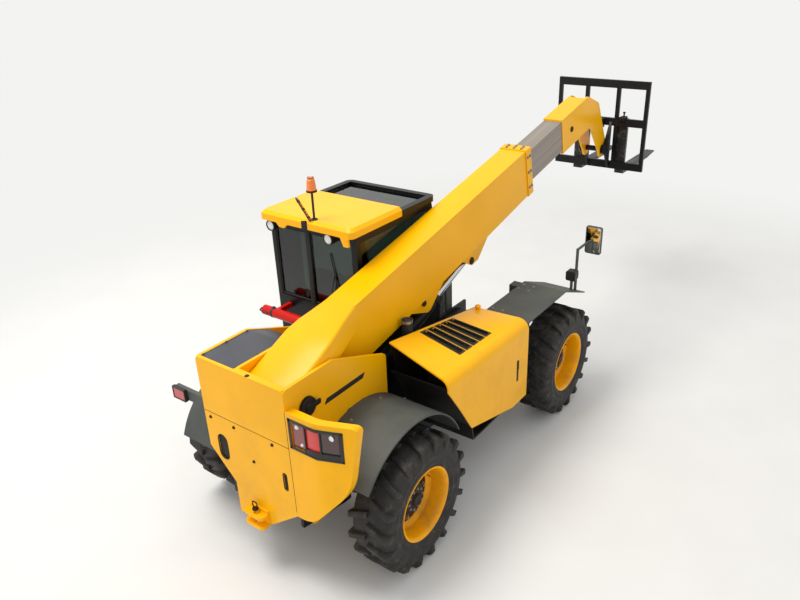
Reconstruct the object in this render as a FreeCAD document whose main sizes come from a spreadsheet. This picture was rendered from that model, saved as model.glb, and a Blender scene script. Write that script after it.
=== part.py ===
import FreeCAD, Part
import math
import os
import Sketcher

# Telehandler, in millimetres. X points forward, Y to the machine's left, Z up.
# The pieces are drawn with the ground under the rear axle as zero, and placed
# so that the zero of the whole machine lies under the middle of its length.

SIZES = {
    # Wheels and tyres
    "wheelbase": 2750,
    "tyre_diameter": 1200,
    "tyre_width": 400,
    "tyre_shoulder": 60,
    "bead_bulge": 50,
    "lug_height": 32,
    "lug_width": 62,
    "lug_sweep": 70,
    "lug_inset": 6,
    "lug_middle_gap": 10,
    "lug_count": 18,
    "rim_diameter": 610,
    "rim_width": 360,
    "rim_wall": 9,
    "flange_height": 25,
    "flange_wall": 14,
    "disc_inset": 20,
    "disc_wall": 16,
    "hub_radius": 125,
    "hub_reach": 80,
    "hub_bevel": 20,
    "wheel_offset": 975,
    # Knuckles and axles
    "kingpin_inset": 175,
    "spindle_radius": 48,
    "spindle_tail": 45,
    "knuckle_radius": 75,
    "knuckle_height": 190,
    "knuckle_flange": 95,
    "knuckle_flange_reach": 145,
    "trunnion_radius": 30,
    "yoke_arm": 35,
    "yoke_half_width": 55,
    "yoke_wall": 35,
    "axle_tube_radius": 85,
    "axle_bulge_radius": 140,
    "axle_bulge_half_width": 90,
    "axle_taper_half_width": 230,
    "axle_pad_half_length": 90,
    "axle_pad_half_width": 150,
    "steer_ram_radius": 40,
    "steer_ram_half_length": 300,
    "steer_ram_setback": 160,
    # Main frame
    "tower_right": 460,
    "tower_left": 430,
    "tower_wall": 30,
    "frame_wall": 30,
    "frame_bottom": 420,
    "frame_top": 950,
    "frame_tail": 720,
    "frame_nose": 330,
    "frame_end_bottom": 520,
    "belly_wall": 16,
    "belly_start": 300,
    "notch_half_length": 130,
    "notch_slope": 60,
    "cross_rise": 145,
    "cross_height": 55,
    "cross_half_length": 160,
    "hump_height": 40,
    "hump_setback": 250,
    # Tower
    "housing_left": 520,
    "shelf_drop": 90,
    "tower_rear": 800,
    "tower_top": 1890,
    "tower_foot": 500,
    "foot_setback": 180,
    "tower_front": 420,
    "tower_front_top": 1620,
    "tower_shoulder": 250,
    "tower_leg_bottom": 850,
    "tower_step": 300,
    "tower_corner": 40,
    "window_start": 130,
    "window_end": 110,
    "window_top": 1350,
    "middle_plate": 67,
    "middle_front": 180,
    "top_lip": 60,
    "panel_depth": 12,
    "cover_setback": 20,
    "rear_side_level": 1020,
    "rear_step_offset": 370,
    "rear_step_level": 860,
    "rear_keel_offset": 255,
    "rear_keel_level": 740,
    "rear_keel_bottom": 420,
    "rear_hole_width": 110,
    "rear_hole_height": 250,
    "rear_hole_offset": 345,
    "rear_hole_level": 1065,
    "grip_width": 40,
    "grip_height": 170,
    "grip_offset": 370,
    "grip_level": 1025,
    # Rear wing, hitch and lamps
    "wing_top": 1720,
    "wing_bottom": 720,
    "wing_depth": 70,
    "wing_knee": 620,
    "wing_elbow": 970,
    "wing_elbow_level": 1120,
    "wing_outer": 1060,
    "wing_turn": 750,
    "wing_bend": 120,
    "wing_plan_round": 300,
    "lamp_recess_start": 500,
    "lamp_recess_end": 930,
    "lamp_recess_bottom": 1420,
    "lamp_recess_top": 1660,
    "lamp_recess_depth": 30,
    "lens_margin": 15,
    "lens_gap": 10,
    "lens_thickness": 22,
    "lamp_bar_level": 1360,
    "lamp_bar_height": 100,
    "lamp_bar_reach": 920,
    "lamp_bar_depth": 40,
    "left_lamp_width": 150,
    "left_lamp_depth": 30,
    "hitch_level": 440,
    "hitch_height": 160,
    "hitch_half_width": 110,
    "hitch_reach": 90,
    "hitch_jaw": 70,
    "hitch_pin_radius": 20,
    "hitch_plate": 30,
    # Boom geometry
    "pivot_setback": 570,
    "pivot_height": 1640,
    "pivot_radius": 45,
    "pivot_head": 15,
    "pivot_flange": 40,
    "boom_angle": 12,
    "boom_offset": 150,
    "boom_width": 300,
    "boom_wall": 12,
    "boom_top": 290,
    "boom_rear_bottom": 280,
    "boom_front_bottom": 245,
    "boom_length": 4030,
    "boom_neck": 550,
    "boom_belly_start": 1400,
    "boom_tail_radius": 190,
    "boom_hub_radius": 185,
    "hub_gap": 5,
    "cavity_start": 420,
    "collar_length": 110,
    "collar_raise": 12,
    "inner_width": 220,
    "inner_top": 215,
    "inner_bottom": 150,
    "inner_wall": 10,
    "inner_start": 470,
    "inner_length": 3580,
    "wear_pad_length": 120,
    "rest_extension": 850,
    "lift_ear_start": 2480,
    "lift_ear_end": 3270,
    "lift_ear_wall": 25,
    "lift_ear_foot": 130,
    "mid_ear_start": 1505,
    "mid_ear_end": 2270,
    "mid_ear_low": 1875,
    "mid_ear_foot": 50,
    "mid_ear_drop": 454,
    "mid_ear_half_gap": 100,
    "mid_pin_reach": 1805,
    "mid_pin_drop": 312,
    "mid_pin_radius": 32,
    "mid_boss": 10,
    # Boom head and carriage
    "head_width": 240,
    "head_plate": 25,
    "head_top": 235,
    "head_bottom": 190,
    "head_shoulder": 4800,
    "head_nose": 5060,
    "head_belly_end": 4500,
    "head_nose_level": 30,
    "head_throat": 340,
    "head_lean": 30,
    "carriage_pin_reach": 5200,
    "carriage_pin_drop": 650,
    "carriage_pin_radius": 35,
    "head_eye_radius": 95,
    "carriage_back": 185,
    "carriage_bar": 40,
    "carriage_half_width": 625,
    "carriage_low_bar": 300,
    "carriage_bar_height": 100,
    "carriage_high_bar": 280,
    "backrest_top": 820,
    "backrest_post": 50,
    "backrest_inset": 60,
    "lever_half_width": 45,
    "carriage_ear_wall": 35,
    "ear_gap": 8,
    "fork_thickness": 45,
    "fork_width": 125,
    "fork_length": 1200,
    "fork_drop": 360,
    "fork_spread": 300,
    "fork_tip": 12,
    # Lift ram
    "lift_base_setback": 300,
    "lift_base_height": 900,
    "lift_eye_reach": 2760,
    "lift_eye_drop": 425,
    "lift_barrel_radius": 75,
    "lift_barrel_length": 2050,
    "lift_rod_radius": 40,
    "lift_rod_length": 2000,
    "lift_eye_radius": 42,
    "lift_base_radius": 70,
    "lift_pin_radius": 30,
    "ram_eye_width": 90,
    "ear_side_gap": 8,
    "gland_length": 60,
    # Tilt ram
    "tilt_base_reach": 4300,
    "tilt_base_level": 20,
    "tilt_lever": 340,
    "tilt_barrel_radius": 50,
    "tilt_barrel_length": 760,
    "tilt_rod_radius": 28,
    "tilt_rod_length": 700,
    "tilt_eye_radius": 40,
    "tilt_pin_radius": 22,
    "tilt_eye_width": 70,
    # Engine side
    "bonnet_rear": 500,
    "bonnet_setback": 800,
    "bonnet_side": 1055,
    "bonnet_hinge_offset": 440,
    "bonnet_wall": 14,
    "bonnet_rear_inner_top": 1690,
    "bonnet_rear_outer_top": 1480,
    "bonnet_front_inner_top": 1425,
    "bonnet_front_outer_top": 1445,
    "bonnet_round": 110,
    "skirt_front": 580,
    "skirt_rear_rise": 200,
    "skirt_gap": 140,
    "skirt_taper": 250,
    "knee_tuck": 65,
    "knee_rise": 520,
    "arch_top_drop": 90,
    "slot_count": 5,
    "slot_start": 930,
    "slot_pitch": 115,
    "slot_width": 75,
    "slot_inner": 480,
    "slot_outer": 890,
    "latch_setback": 210,
    "latch_level": 970,
    "latch_height": 280,
    "latch_width": 40,
    "bay_floor": 620,
    "bay_wall": 15,
    "bay_gap": 6,
    "bay_shoulder": 50,
    "bay_chamfer": 90,
    "bay_inset": 10,
    "engine_rear_gap": 120,
    "engine_front_gap": 170,
    "engine_width": 440,
    "engine_height": 640,
    "engine_gap": 25,
    "exhaust_reach": 860,
    "exhaust_offset": 372,
    "exhaust_radius": 50,
    "exhaust_top": 1740,
    # Fenders
    "guard_gap": 140,
    "guard_wall": 12,
    "guard_reach": 1040,
    "guard_rear_rise": 250,
    "guard_front_rise": 360,
    "guard_wing_gap": 18,
    "fender_clearance": 200,
    "fender_wall": 12,
    "fender_inner": 540,
    "fender_outer": 1040,
    "fender_gap": 20,
    "fender_rear_rise": 160,
    "fender_slope_start": 80,
    "fender_front_reach": 600,
    "fender_front_drop": 210,
    "fender_post_width": 60,
    "fender_post_reach": 330,
    "left_fender_setback": 590,
    "head_lamp_reach": 350,
    "head_lamp_offset": 980,
    "head_lamp_rise": 130,
    "head_lamp_size": 110,
    "head_lamp_depth": 90,
    "lamp_post_radius": 16,
    "side_mirror_reach": 460,
    "side_mirror_rise": 500,
    # Cab
    "cab_tuck": 20,
    "cab_inner": 50,
    "cab_outer": 1120,
    "cab_setback": 730,
    "cab_belly_reach": 90,
    "cab_brow_setback": 120,
    "cab_belly_level": 1450,
    "tub_top": 1250,
    "tub_floor": 30,
    "tub_wall": 40,
    "rear_panel_top": 1700,
    "cab_top": 2500,
    "cab_post": 55,
    "cab_rail": 70,
    "roof_thickness": 90,
    "roof_bevel": 30,
    "roof_rear_overhang": 90,
    "roof_side_overhang": 50,
    "roof_inner": 20,
    "roof_cap_setback": 530,
    "roof_front_overhang": 40,
    "roof_round": 50,
    "fascia_wall": 25,
    "fascia_drop": 80,
    "channel_width": 34,
    "channel_depth": 22,
    "channel_start": 530,
    "channel_rear": 30,
    "channel_length": 890,
    "channel_turn": 54,
    "pane_rim": 70,
    "pane_level": 20,
    "ring_height": 55,
    "glass_wall": 6,
    "glass_gap": 0.3,
    "glass_inset": 18,
    "door_setback": 280,
    "door_gap": 6,
    "door_wall": 40,
    "door_front_setback": 90,
    "door_lean": 60,
    "door_top_setback": 30,
    "door_split": 1450,
    "door_rail": 55,
    "hinge_radius": 14,
    "hinge_pin_radius": 8,
    "hinge_height": 36,
    "hinge_low": 1300,
    "hinge_high": 2250,
    "mirror_reach": 240,
    "mirror_top": 2300,
    "mirror_height": 320,
    "mirror_width": 185,
    "mirror_wall": 25,
    "mirror_arm": 20,
    "plinth_bottom": 520,
    "plinth_outer": 1080,
    "step_depth": 180,
    "step_height": 230,
    "step_inset": 150,
    "seat_share": 0.12,
    "seat_length": 440,
    "seat_width": 480,
    "seat_centre": 585,
    "seat_pan_level": 1400,
    "seat_pan_height": 110,
    "seat_back_wall": 110,
    "seat_back_top": 2020,
    "seat_base_half": 160,
    "seat_base_inset": 80,
    "seat_back_lean": 60,
    "column_setback": 230,
    "column_radius": 45,
    "column_top": 1640,
    "steering_wheel_radius": 190,
    "steering_wheel_grip": 15,
    "work_lamp_radius": 55,
    "work_lamp_depth": 60,
    "work_lamp_drop": 60,
    "work_lamp_left": 1060,
    "work_lamp_right": 330,
    "beacon_setback": 35,
    "beacon_offset": 500,
    "beacon_stalk": 260,
    "beacon_stalk_radius": 11,
    "beacon_radius": 48,
    "beacon_height": 135,
    "beacon_foot": 20,
    "bottle_reach": 500,
    "bottle_rise": 260,
    "bottle_radius": 50,
    "bottle_start": 490,
    "bottle_end": 1110,
    "bottle_arm_height": 50,
    "bottle_arm_width": 40,
    "bottle_arm_inset": 120,
    # Rounded corners
    "small_round": 20,
    "middle_round": 40,
    "large_round": 60,
    "nose_round": 80,
    "sweep_round": 250,
    # Fits
    "running_fit": 0.1,
    "seat_gap": 0.3,
}

os.makedirs("parts", exist_ok=True)
doc = FreeCAD.newDocument("telehandler")
sheet = doc.addObject("Spreadsheet::Sheet", "sizes")


class Size:
    """A number that remembers the expression it comes from."""

    def __init__(self, value, text=None):
        self.value = float(value)
        self.bound = text is not None
        self.text = text if self.bound else f"({float(value):.6f})"

    def join(self, other, sign, result):
        other = as_size(other)
        text = f"({self.text} {sign} {other.text})"
        return Size(result(self.value, other.value), text if self.bound or other.bound else None)

    def __add__(self, other):
        return self.join(other, "+", lambda a, b: a + b)

    def __sub__(self, other):
        return self.join(other, "-", lambda a, b: a - b)

    def __mul__(self, other):
        return self.join(other, "*", lambda a, b: a * b)

    def __truediv__(self, other):
        return self.join(other, "/", lambda a, b: a / b)

    def __radd__(self, other):
        return as_size(other) + self

    def __rsub__(self, other):
        return as_size(other) - self

    def __rmul__(self, other):
        return as_size(other) * self

    def __neg__(self):
        return as_size(-1) * self

    def __float__(self):
        return self.value


def as_size(value):
    return value if isinstance(value, Size) else Size(value)


def sine(angle):
    return Size(math.sin(math.radians(float(angle))), f"sin({angle.text})")


def cosine(angle):
    return Size(math.cos(math.radians(float(angle))), f"cos({angle.text})")


def heading(rise, run):
    """The angle in degrees of a line that rises by one value over the other."""
    return Size(math.degrees(math.atan2(float(rise), float(run))), f"atan2({rise.text}; {run.text})")


class Sheet:
    """The spreadsheet's values, each read by its name."""

    def __init__(self, values):
        for row, (name, value) in enumerate(values.items(), start=1):
            sheet.set(f"A{row}", name)
            sheet.set(f"B{row}", str(value))
            sheet.setAlias(f"B{row}", name)
            setattr(self, name, Size(value, f"sizes.{name}"))


d = Sheet(SIZES)
doc.recompute()


def bind(item, prop, value):
    item.setExpression(prop, as_size(value).text)


def rect(x_low, x_high, y_low, y_high, radius=None):
    corners = [(x_low, y_low), (x_high, y_low), (x_high, y_high), (x_low, y_high)]
    return [corner + (radius,) for corner in corners] if radius is not None else corners


def upright(x, y, width, height):
    """An upright slot about a point."""
    return rect(x - width / 2, x + width / 2, y - height / 2, y + height / 2, width * 0.45)


def circle(x, y, radius):
    return ("circle", x, y, radius)


def on_side(side, near, far):
    """Two levels of Y, on the left for 1 and on the right for -1."""
    return (as_size(near), as_size(far)) if side > 0 else (-as_size(far), -as_size(near))


def rule(sketch, rules, kind, *where, value=None):
    """Queue a constraint; one with a value is bound to its expression later."""
    if value is None:
        rules.append((Sketcher.Constraint(kind, *where), None))
    else:
        rules.append((Sketcher.Constraint(kind, *where, float(value)), as_size(value)))


def draw_circle(sketch, rules, x, y, radius):
    centre = FreeCAD.Vector(float(x), float(y), 0)
    index = sketch.addGeometry(Part.Circle(centre, FreeCAD.Vector(0, 0, 1), float(radius)))
    rule(sketch, rules, "Radius", index, value=radius)
    rule(sketch, rules, "DistanceX", -1, 1, index, 3, value=x)
    rule(sketch, rules, "DistanceY", -1, 1, index, 3, value=y)


def corner_arc(before, here, after, radius):
    """The arc that rounds a corner, its two ends, and whether it turns left."""
    back = (before - here).normalize()
    ahead = (after - here).normalize()
    half = back.getAngle(ahead) / 2
    arrive = here + back * (radius / math.tan(half))
    leave = here + ahead * (radius / math.tan(half))
    centre = here + (back + ahead).normalize() * (radius / math.sin(half))
    left = (here - before).cross(after - here).z > 0
    first, last = (arrive, leave) if left else (leave, arrive)
    angles = [math.atan2(end.y - centre.y, end.x - centre.x) for end in (first, last)]
    arc = Part.ArcOfCircle(Part.Circle(centre, FreeCAD.Vector(0, 0, 1), radius), *angles)
    return arc, arrive, leave, left


def draw_polygon(sketch, rules, corners):
    """Corners are (x, y) or, where rounded, (x, y, radius)."""
    count = len(corners)
    spots = [FreeCAD.Vector(float(corner[0]), float(corner[1]), 0) for corner in corners]
    arrivals = list(spots)
    departures = list(spots)
    arcs = {}
    for i, corner in enumerate(corners):
        if len(corner) == 3:
            arc, arrivals[i], departures[i], left = corner_arc(
                spots[i - 1], spots[i], spots[(i + 1) % count], float(corner[2]))
            arcs[i] = (arc, left)
    sides = [sketch.addGeometry(Part.LineSegment(departures[i], arrivals[(i + 1) % count]))
             for i in range(count)]
    for i, corner in enumerate(corners):
        arriving = sides[i - 1]
        leaving = sides[i]
        anchor = leaving
        if i in arcs:
            arc, left = arcs[i]
            index = sketch.addGeometry(arc)
            anchor = sketch.addGeometry(Part.Point(spots[i]), True)
            first, last = (1, 2) if left else (2, 1)
            rule(sketch, rules, "Tangent", arriving, 2, index, first)
            rule(sketch, rules, "Tangent", index, last, leaving, 1)
            rule(sketch, rules, "PointOnObject", anchor, 1, arriving)
            rule(sketch, rules, "PointOnObject", anchor, 1, leaving)
            rule(sketch, rules, "Radius", index, value=corner[2])
        else:
            rule(sketch, rules, "Coincident", arriving, 2, leaving, 1)
        rule(sketch, rules, "DistanceX", -1, 1, anchor, 1, value=corner[0])
        rule(sketch, rules, "DistanceY", -1, 1, anchor, 1, value=corner[1])


class Piece:
    """One sub-part: a body that grows by features, then gets its place."""

    made = []

    def __init__(self, name, several=False):
        self.body = doc.addObject("PartDesign::Body", name)
        self.body.Label = name
        self.body.AllowCompound = True
        self.several = several
        self.name = name
        self.planes = {item.Role: item for item in self.body.Origin.OriginFeatures}
        Piece.made.append(self)

    def feature(self, kind):
        return self.body.newObject(f"PartDesign::{kind}", f"{self.name}_{kind}")

    def sketch(self, plane, loops, level):
        """A sketch on an origin plane, moved along the plane's normal."""
        sketch = self.body.newObject("Sketcher::SketchObject", f"{self.name}_sketch")
        sketch.AttachmentSupport = (self.planes[f"{plane}_Plane"], "")
        sketch.MapMode = "FlatFace"
        bind(sketch, "AttachmentOffset.Base.z", level)
        rules = []
        for loop in loops:
            if loop[0] == "circle":
                draw_circle(sketch, rules, *loop[1:])
            else:
                draw_polygon(sketch, rules, loop)
        sketch.addConstraint([item for item, value in rules])
        for i, (item, value) in enumerate(rules):
            if value is not None and value.bound:
                sketch.setExpression(f"Constraints[{i}]", value.text)
        return sketch

    def pad(self, plane, low, high, *loops):
        """Material between two levels: of Y for XZ, of X for YZ, of Z for XY."""
        level = -as_size(high) if plane == "XZ" else low
        pad = self.feature("Pad")
        pad.Profile = self.sketch(plane, loops, level)
        bind(pad, "Length", as_size(high) - low)
        return pad

    def cut(self, plane, low, high, *loops):
        """A pocket between two levels, checked to take material away."""
        level = -as_size(low) if plane == "XZ" else high
        before = self.volume()
        pocket = self.feature("Pocket")
        pocket.Profile = self.sketch(plane, loops, level)
        pocket.Type = "Length"
        bind(pocket, "Length", as_size(high) - low)
        if not self.volume() < before:
            raise ValueError(f"{self.name}: {pocket.Name} cuts nothing")
        return pocket

    def turn(self, plane, axis, *loops):
        """A full revolution about the sketch's H_Axis or V_Axis."""
        sketch = self.sketch(plane, loops, 0)
        turned = self.feature("Revolution")
        turned.Profile = sketch
        turned.ReferenceAxis = (sketch, [axis])
        turned.Angle = 360
        return turned

    def loft(self, plane, *sections):
        """A straight loft; each section is (level, loop)."""
        sketches = [self.sketch(plane, [loop], level) for level, loop in sections]
        loft = self.feature("AdditiveLoft")
        loft.Profile = sketches[0]
        loft.Sections = sketches[1:]
        loft.Ruled = True
        return loft

    def row(self, feature, axis, pitch, count):
        """Repeat a feature along an origin axis."""
        axes = {item.Role: item for item in self.body.Origin.OriginFeatures}
        pattern = self.feature("LinearPattern")
        pattern.Originals = [feature]
        pattern.Direction = (axes[axis], [""])
        pattern.Occurrences = int(float(count))
        bind(pattern, "Length", pitch * (count - 1))
        self.body.Tip = pattern
        return pattern

    def ring(self, features, axis, count):
        """Repeat features all the way round an origin axis."""
        axes = {item.Role: item for item in self.body.Origin.OriginFeatures}
        pattern = self.feature("PolarPattern")
        pattern.Originals = features
        pattern.Axis = (axes[axis], [""])
        pattern.Angle = 360
        pattern.Occurrences = int(float(count))
        self.body.Tip = pattern
        return pattern

    def trim(self, plane, axis, *loops):
        """Take away a ring turned about the sketch's H_Axis or V_Axis."""
        sketch = self.sketch(plane, loops, 0)
        groove = self.feature("Groove")
        groove.Profile = sketch
        groove.ReferenceAxis = (sketch, [axis])
        groove.Angle = 360
        return groove

    def volume(self):
        doc.recompute()
        return self.body.Shape.Volume

    def place(self, x=0, y=0, z=0, lift_angle=0):
        """Put the piece at its point, turned nose-up about the Y axis."""
        self.body.Placement = FreeCAD.Placement(
            FreeCAD.Vector(), FreeCAD.Rotation(FreeCAD.Vector(0, -1, 0), 10))
        bind(self.body, "Placement.Base.x", x + origin_shift)
        bind(self.body, "Placement.Base.y", y)
        bind(self.body, "Placement.Base.z", z)
        bind(self.body, "Placement.Rotation.Angle", lift_angle)


# Points that several pieces share

axle_height = d.tyre_diameter / 2
axle_places = (("rear", as_size(0)), ("front", d.wheelbase))
sides = (("left", 1), ("right", -1))
kingpin_offset = d.wheel_offset - d.kingpin_inset
pivot_x = -d.pivot_setback
rise = sine(d.boom_angle)
run = cosine(d.boom_angle)


def on_boom(along, normal):
    """A point of the boom's own frame, as X and Z of the machine at rest."""
    return (pivot_x + along * run - normal * rise, d.pivot_height + along * rise + normal * run)


boom_right = -(d.boom_offset + d.boom_width / 2)
boom_left = d.boom_width / 2 - d.boom_offset
inner_shift_x = d.rest_extension * run
inner_shift_z = d.rest_extension * rise
carriage_x, carriage_z = on_boom(d.carriage_pin_reach + d.rest_extension, -d.carriage_pin_drop)
fork_front = d.carriage_back + d.carriage_bar + d.fork_thickness + d.fork_length
origin_shift = (d.tower_rear + d.hitch_reach - carriage_x - fork_front) / 2
frame_right = d.tower_right - d.tower_wall
frame_left = d.tower_left - d.tower_wall
cross_bottom = axle_height + d.cross_rise
cross_top = cross_bottom + d.cross_height
frame_front = d.wheelbase + d.frame_nose
guard_radius = axle_height + d.guard_gap
skirt_corner = guard_radius + d.skirt_gap
skirt_rear = axle_height + d.skirt_rear_rise
arch_knee = guard_radius - d.knee_tuck
arch_knee_level = axle_height + d.knee_rise
bonnet_front = d.wheelbase - d.bonnet_setback
fender_top = d.tyre_diameter + d.fender_clearance
cab_rear = guard_radius - d.cab_tuck
cab_foot = d.wheelbase - d.cab_setback
cab_belly = cab_foot + d.cab_belly_reach
cab_brow = cab_foot - d.cab_brow_setback
door_start = cab_rear + d.door_setback
door_end = cab_foot - d.door_front_setback
door_top_end = cab_brow - d.cab_post - d.door_top_setback
roof_split = cab_brow - d.roof_cap_setback


def fender_level(reach):
    """Height of a front fender's sloping top ahead of the front axle."""
    fall = d.fender_front_drop / (d.fender_front_reach - d.fender_slope_start)
    return fender_top - (reach - d.fender_slope_start) * fall


head_lamp_level = fender_level(d.head_lamp_reach) + d.head_lamp_rise


# Wheels


def make_tyre(name, x, side):
    bore = d.rim_diameter / 2 + d.seat_gap
    flange = bore + d.flange_height
    bulge = flange + d.bead_bulge
    bead = d.rim_width / 2 - d.flange_wall - d.seat_gap
    half = d.tyre_width / 2
    carcass = axle_height - d.lug_height
    shoulder = d.tyre_shoulder
    tyre = Piece(name)
    tyre.turn("XY", "V_Axis", [
        (bore, -bead), (flange, -bead), (bulge, -half), (carcass - shoulder, -half),
        (carcass, shoulder - half), (carcass, half - shoulder), (carcass - shoulder, half),
        (bulge, half), (flange, bead), (bore, bead)])
    low = carcass - shoulder - d.lug_height
    quarter = axle_height * (math.pi / 2) / d.lug_count
    arms = []
    for hand in (1, -1):
        x_rear = hand * quarter - d.lug_width / 2
        x_front = hand * quarter + d.lug_width / 2
        y_middle = hand * d.lug_middle_gap
        y_edge = hand * (half - d.lug_inset)
        arms.append(tyre.pad("XY", low, axle_height + d.lug_middle_gap, [
            (x_rear, y_middle), (x_front, y_middle), (x_front - d.lug_sweep, y_edge),
            (x_rear - d.lug_sweep, y_edge)]))
    tyre.ring(arms, "Y_Axis", d.lug_count)
    tyre.trim("XY", "V_Axis", rect(axle_height, axle_height + d.lug_width, -half - 1, half + 1))
    tyre.place(x, side * d.wheel_offset, axle_height)


def make_rim(name, x, side):
    seat = d.rim_diameter / 2
    lip = seat + d.flange_height
    inside = seat - d.rim_wall
    half = side * d.rim_width / 2
    wall = side * d.flange_wall
    disc = -side * d.disc_inset
    face = disc + side * d.disc_wall
    bore = d.spindle_radius + d.running_fit
    bottom = side * (d.spindle_tail + d.running_fit)
    rim = Piece(name)
    rim.turn("XY", "V_Axis", [
        (bore, disc), (inside, disc), (inside, -half), (lip, -half), (lip, wall - half),
        (seat, wall - half), (seat, half - wall), (lip, half - wall), (lip, half), (inside, half),
        (inside, face), (d.hub_radius, face), (d.hub_radius, side * (d.hub_reach - d.hub_bevel)),
        (d.hub_radius - d.hub_bevel, side * d.hub_reach), (0, side * d.hub_reach), (0, bottom), (bore, bottom)])
    rim.place(x, side * d.wheel_offset, axle_height)


def make_knuckle(name, x, side):
    half = d.knuckle_height / 2
    reach = d.knuckle_flange_reach
    tail = d.kingpin_inset + d.spindle_tail
    knuckle = Piece(name)
    knuckle.pad("XY", -half, half, circle(0, 0, d.knuckle_radius))
    knuckle.pad("XY", -half - d.yoke_arm, half + d.yoke_arm, circle(0, 0, d.trunnion_radius))
    for length, radius in ((reach, d.knuckle_flange), (tail, d.spindle_radius)):
        knuckle.pad("XZ", *on_side(side, 0, length), circle(0, 0, radius))
    knuckle.place(x, side * kingpin_offset, axle_height)


def make_axle(name, x):
    end = kingpin_offset - d.knuckle_radius - d.yoke_wall / 2
    arm_low = d.knuckle_height / 2 + d.seat_gap
    arm_high = d.knuckle_height / 2 + d.yoke_arm
    bore = d.trunnion_radius + d.running_fit
    axle = Piece(name)
    axle.turn("XY", "V_Axis", [
        (0, -end), (d.axle_tube_radius, -end), (d.axle_tube_radius, -d.axle_taper_half_width),
        (d.axle_bulge_radius, -d.axle_bulge_half_width), (d.axle_bulge_radius, d.axle_bulge_half_width),
        (d.axle_tube_radius, d.axle_taper_half_width), (d.axle_tube_radius, end), (0, end)])
    axle.pad("XY", 0, d.cross_rise, rect(
        -d.axle_pad_half_length, d.axle_pad_half_length, -d.axle_pad_half_width, d.axle_pad_half_width))
    for side in (1, -1):
        wall = (end - d.yoke_wall / 2, end + d.yoke_wall / 2)
        axle.pad("XZ", *on_side(side, *wall), rect(-d.yoke_half_width, d.yoke_half_width, -arm_high, arm_high))
        arms = on_side(side, wall[0], kingpin_offset + d.yoke_half_width)
        for low, high in ((arm_low, arm_high), (-arm_high, -arm_low)):
            axle.pad("XY", low, high, rect(-d.yoke_half_width, d.yoke_half_width, *arms),
                     circle(0, side * kingpin_offset, bore))
    axle.pad("XZ", -d.steer_ram_half_length, d.steer_ram_half_length,
             circle(-d.steer_ram_setback, 0, d.steer_ram_radius))
    axle.pad("XZ", -d.axle_bulge_half_width, d.axle_bulge_half_width, rect(
        -d.steer_ram_setback, 0, -d.steer_ram_radius / 2, d.steer_ram_radius / 2))
    axle.place(x, 0, axle_height)


# Main frame and tower


def make_chassis_frame():
    start = -d.frame_tail
    frame = Piece("chassis_frame")
    notches = []
    for name, x in axle_places:
        notches += [(x - d.notch_half_length, d.frame_bottom), (x - d.notch_half_length, cross_bottom),
                    (x + d.notch_half_length, cross_bottom), (x + d.notch_half_length, d.frame_bottom)]
    notch_end = d.notch_half_length + d.notch_slope
    hump = cross_top + d.hump_height
    side_plate = [(start, d.frame_end_bottom), (-notch_end, d.frame_bottom), *notches,
                  (d.wheelbase + notch_end, d.frame_bottom),
                  (frame_front, d.frame_end_bottom), (frame_front, hump),
                  (d.wheelbase - d.hump_setback, hump), (cab_foot + d.notch_slope, d.frame_top),
                  (start, d.frame_top)]
    frame.pad("XZ", -frame_right, d.frame_wall - frame_right, side_plate, circle(
        -d.lift_base_setback, d.lift_base_height, d.lift_pin_radius + d.running_fit))
    frame.pad("XZ", frame_left - d.frame_wall, frame_left, side_plate)
    inner = (d.frame_wall - frame_right - 1, frame_left - d.frame_wall + 1)
    for name, x in axle_places:
        frame.pad("XY", cross_bottom, cross_top, rect(
            x - d.cross_half_length, x + d.cross_half_length, *inner))
    frame.pad("XY", d.frame_bottom, d.frame_bottom + d.belly_wall, rect(
        d.belly_start, d.wheelbase - d.belly_start, *inner))
    frame.place()


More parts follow.
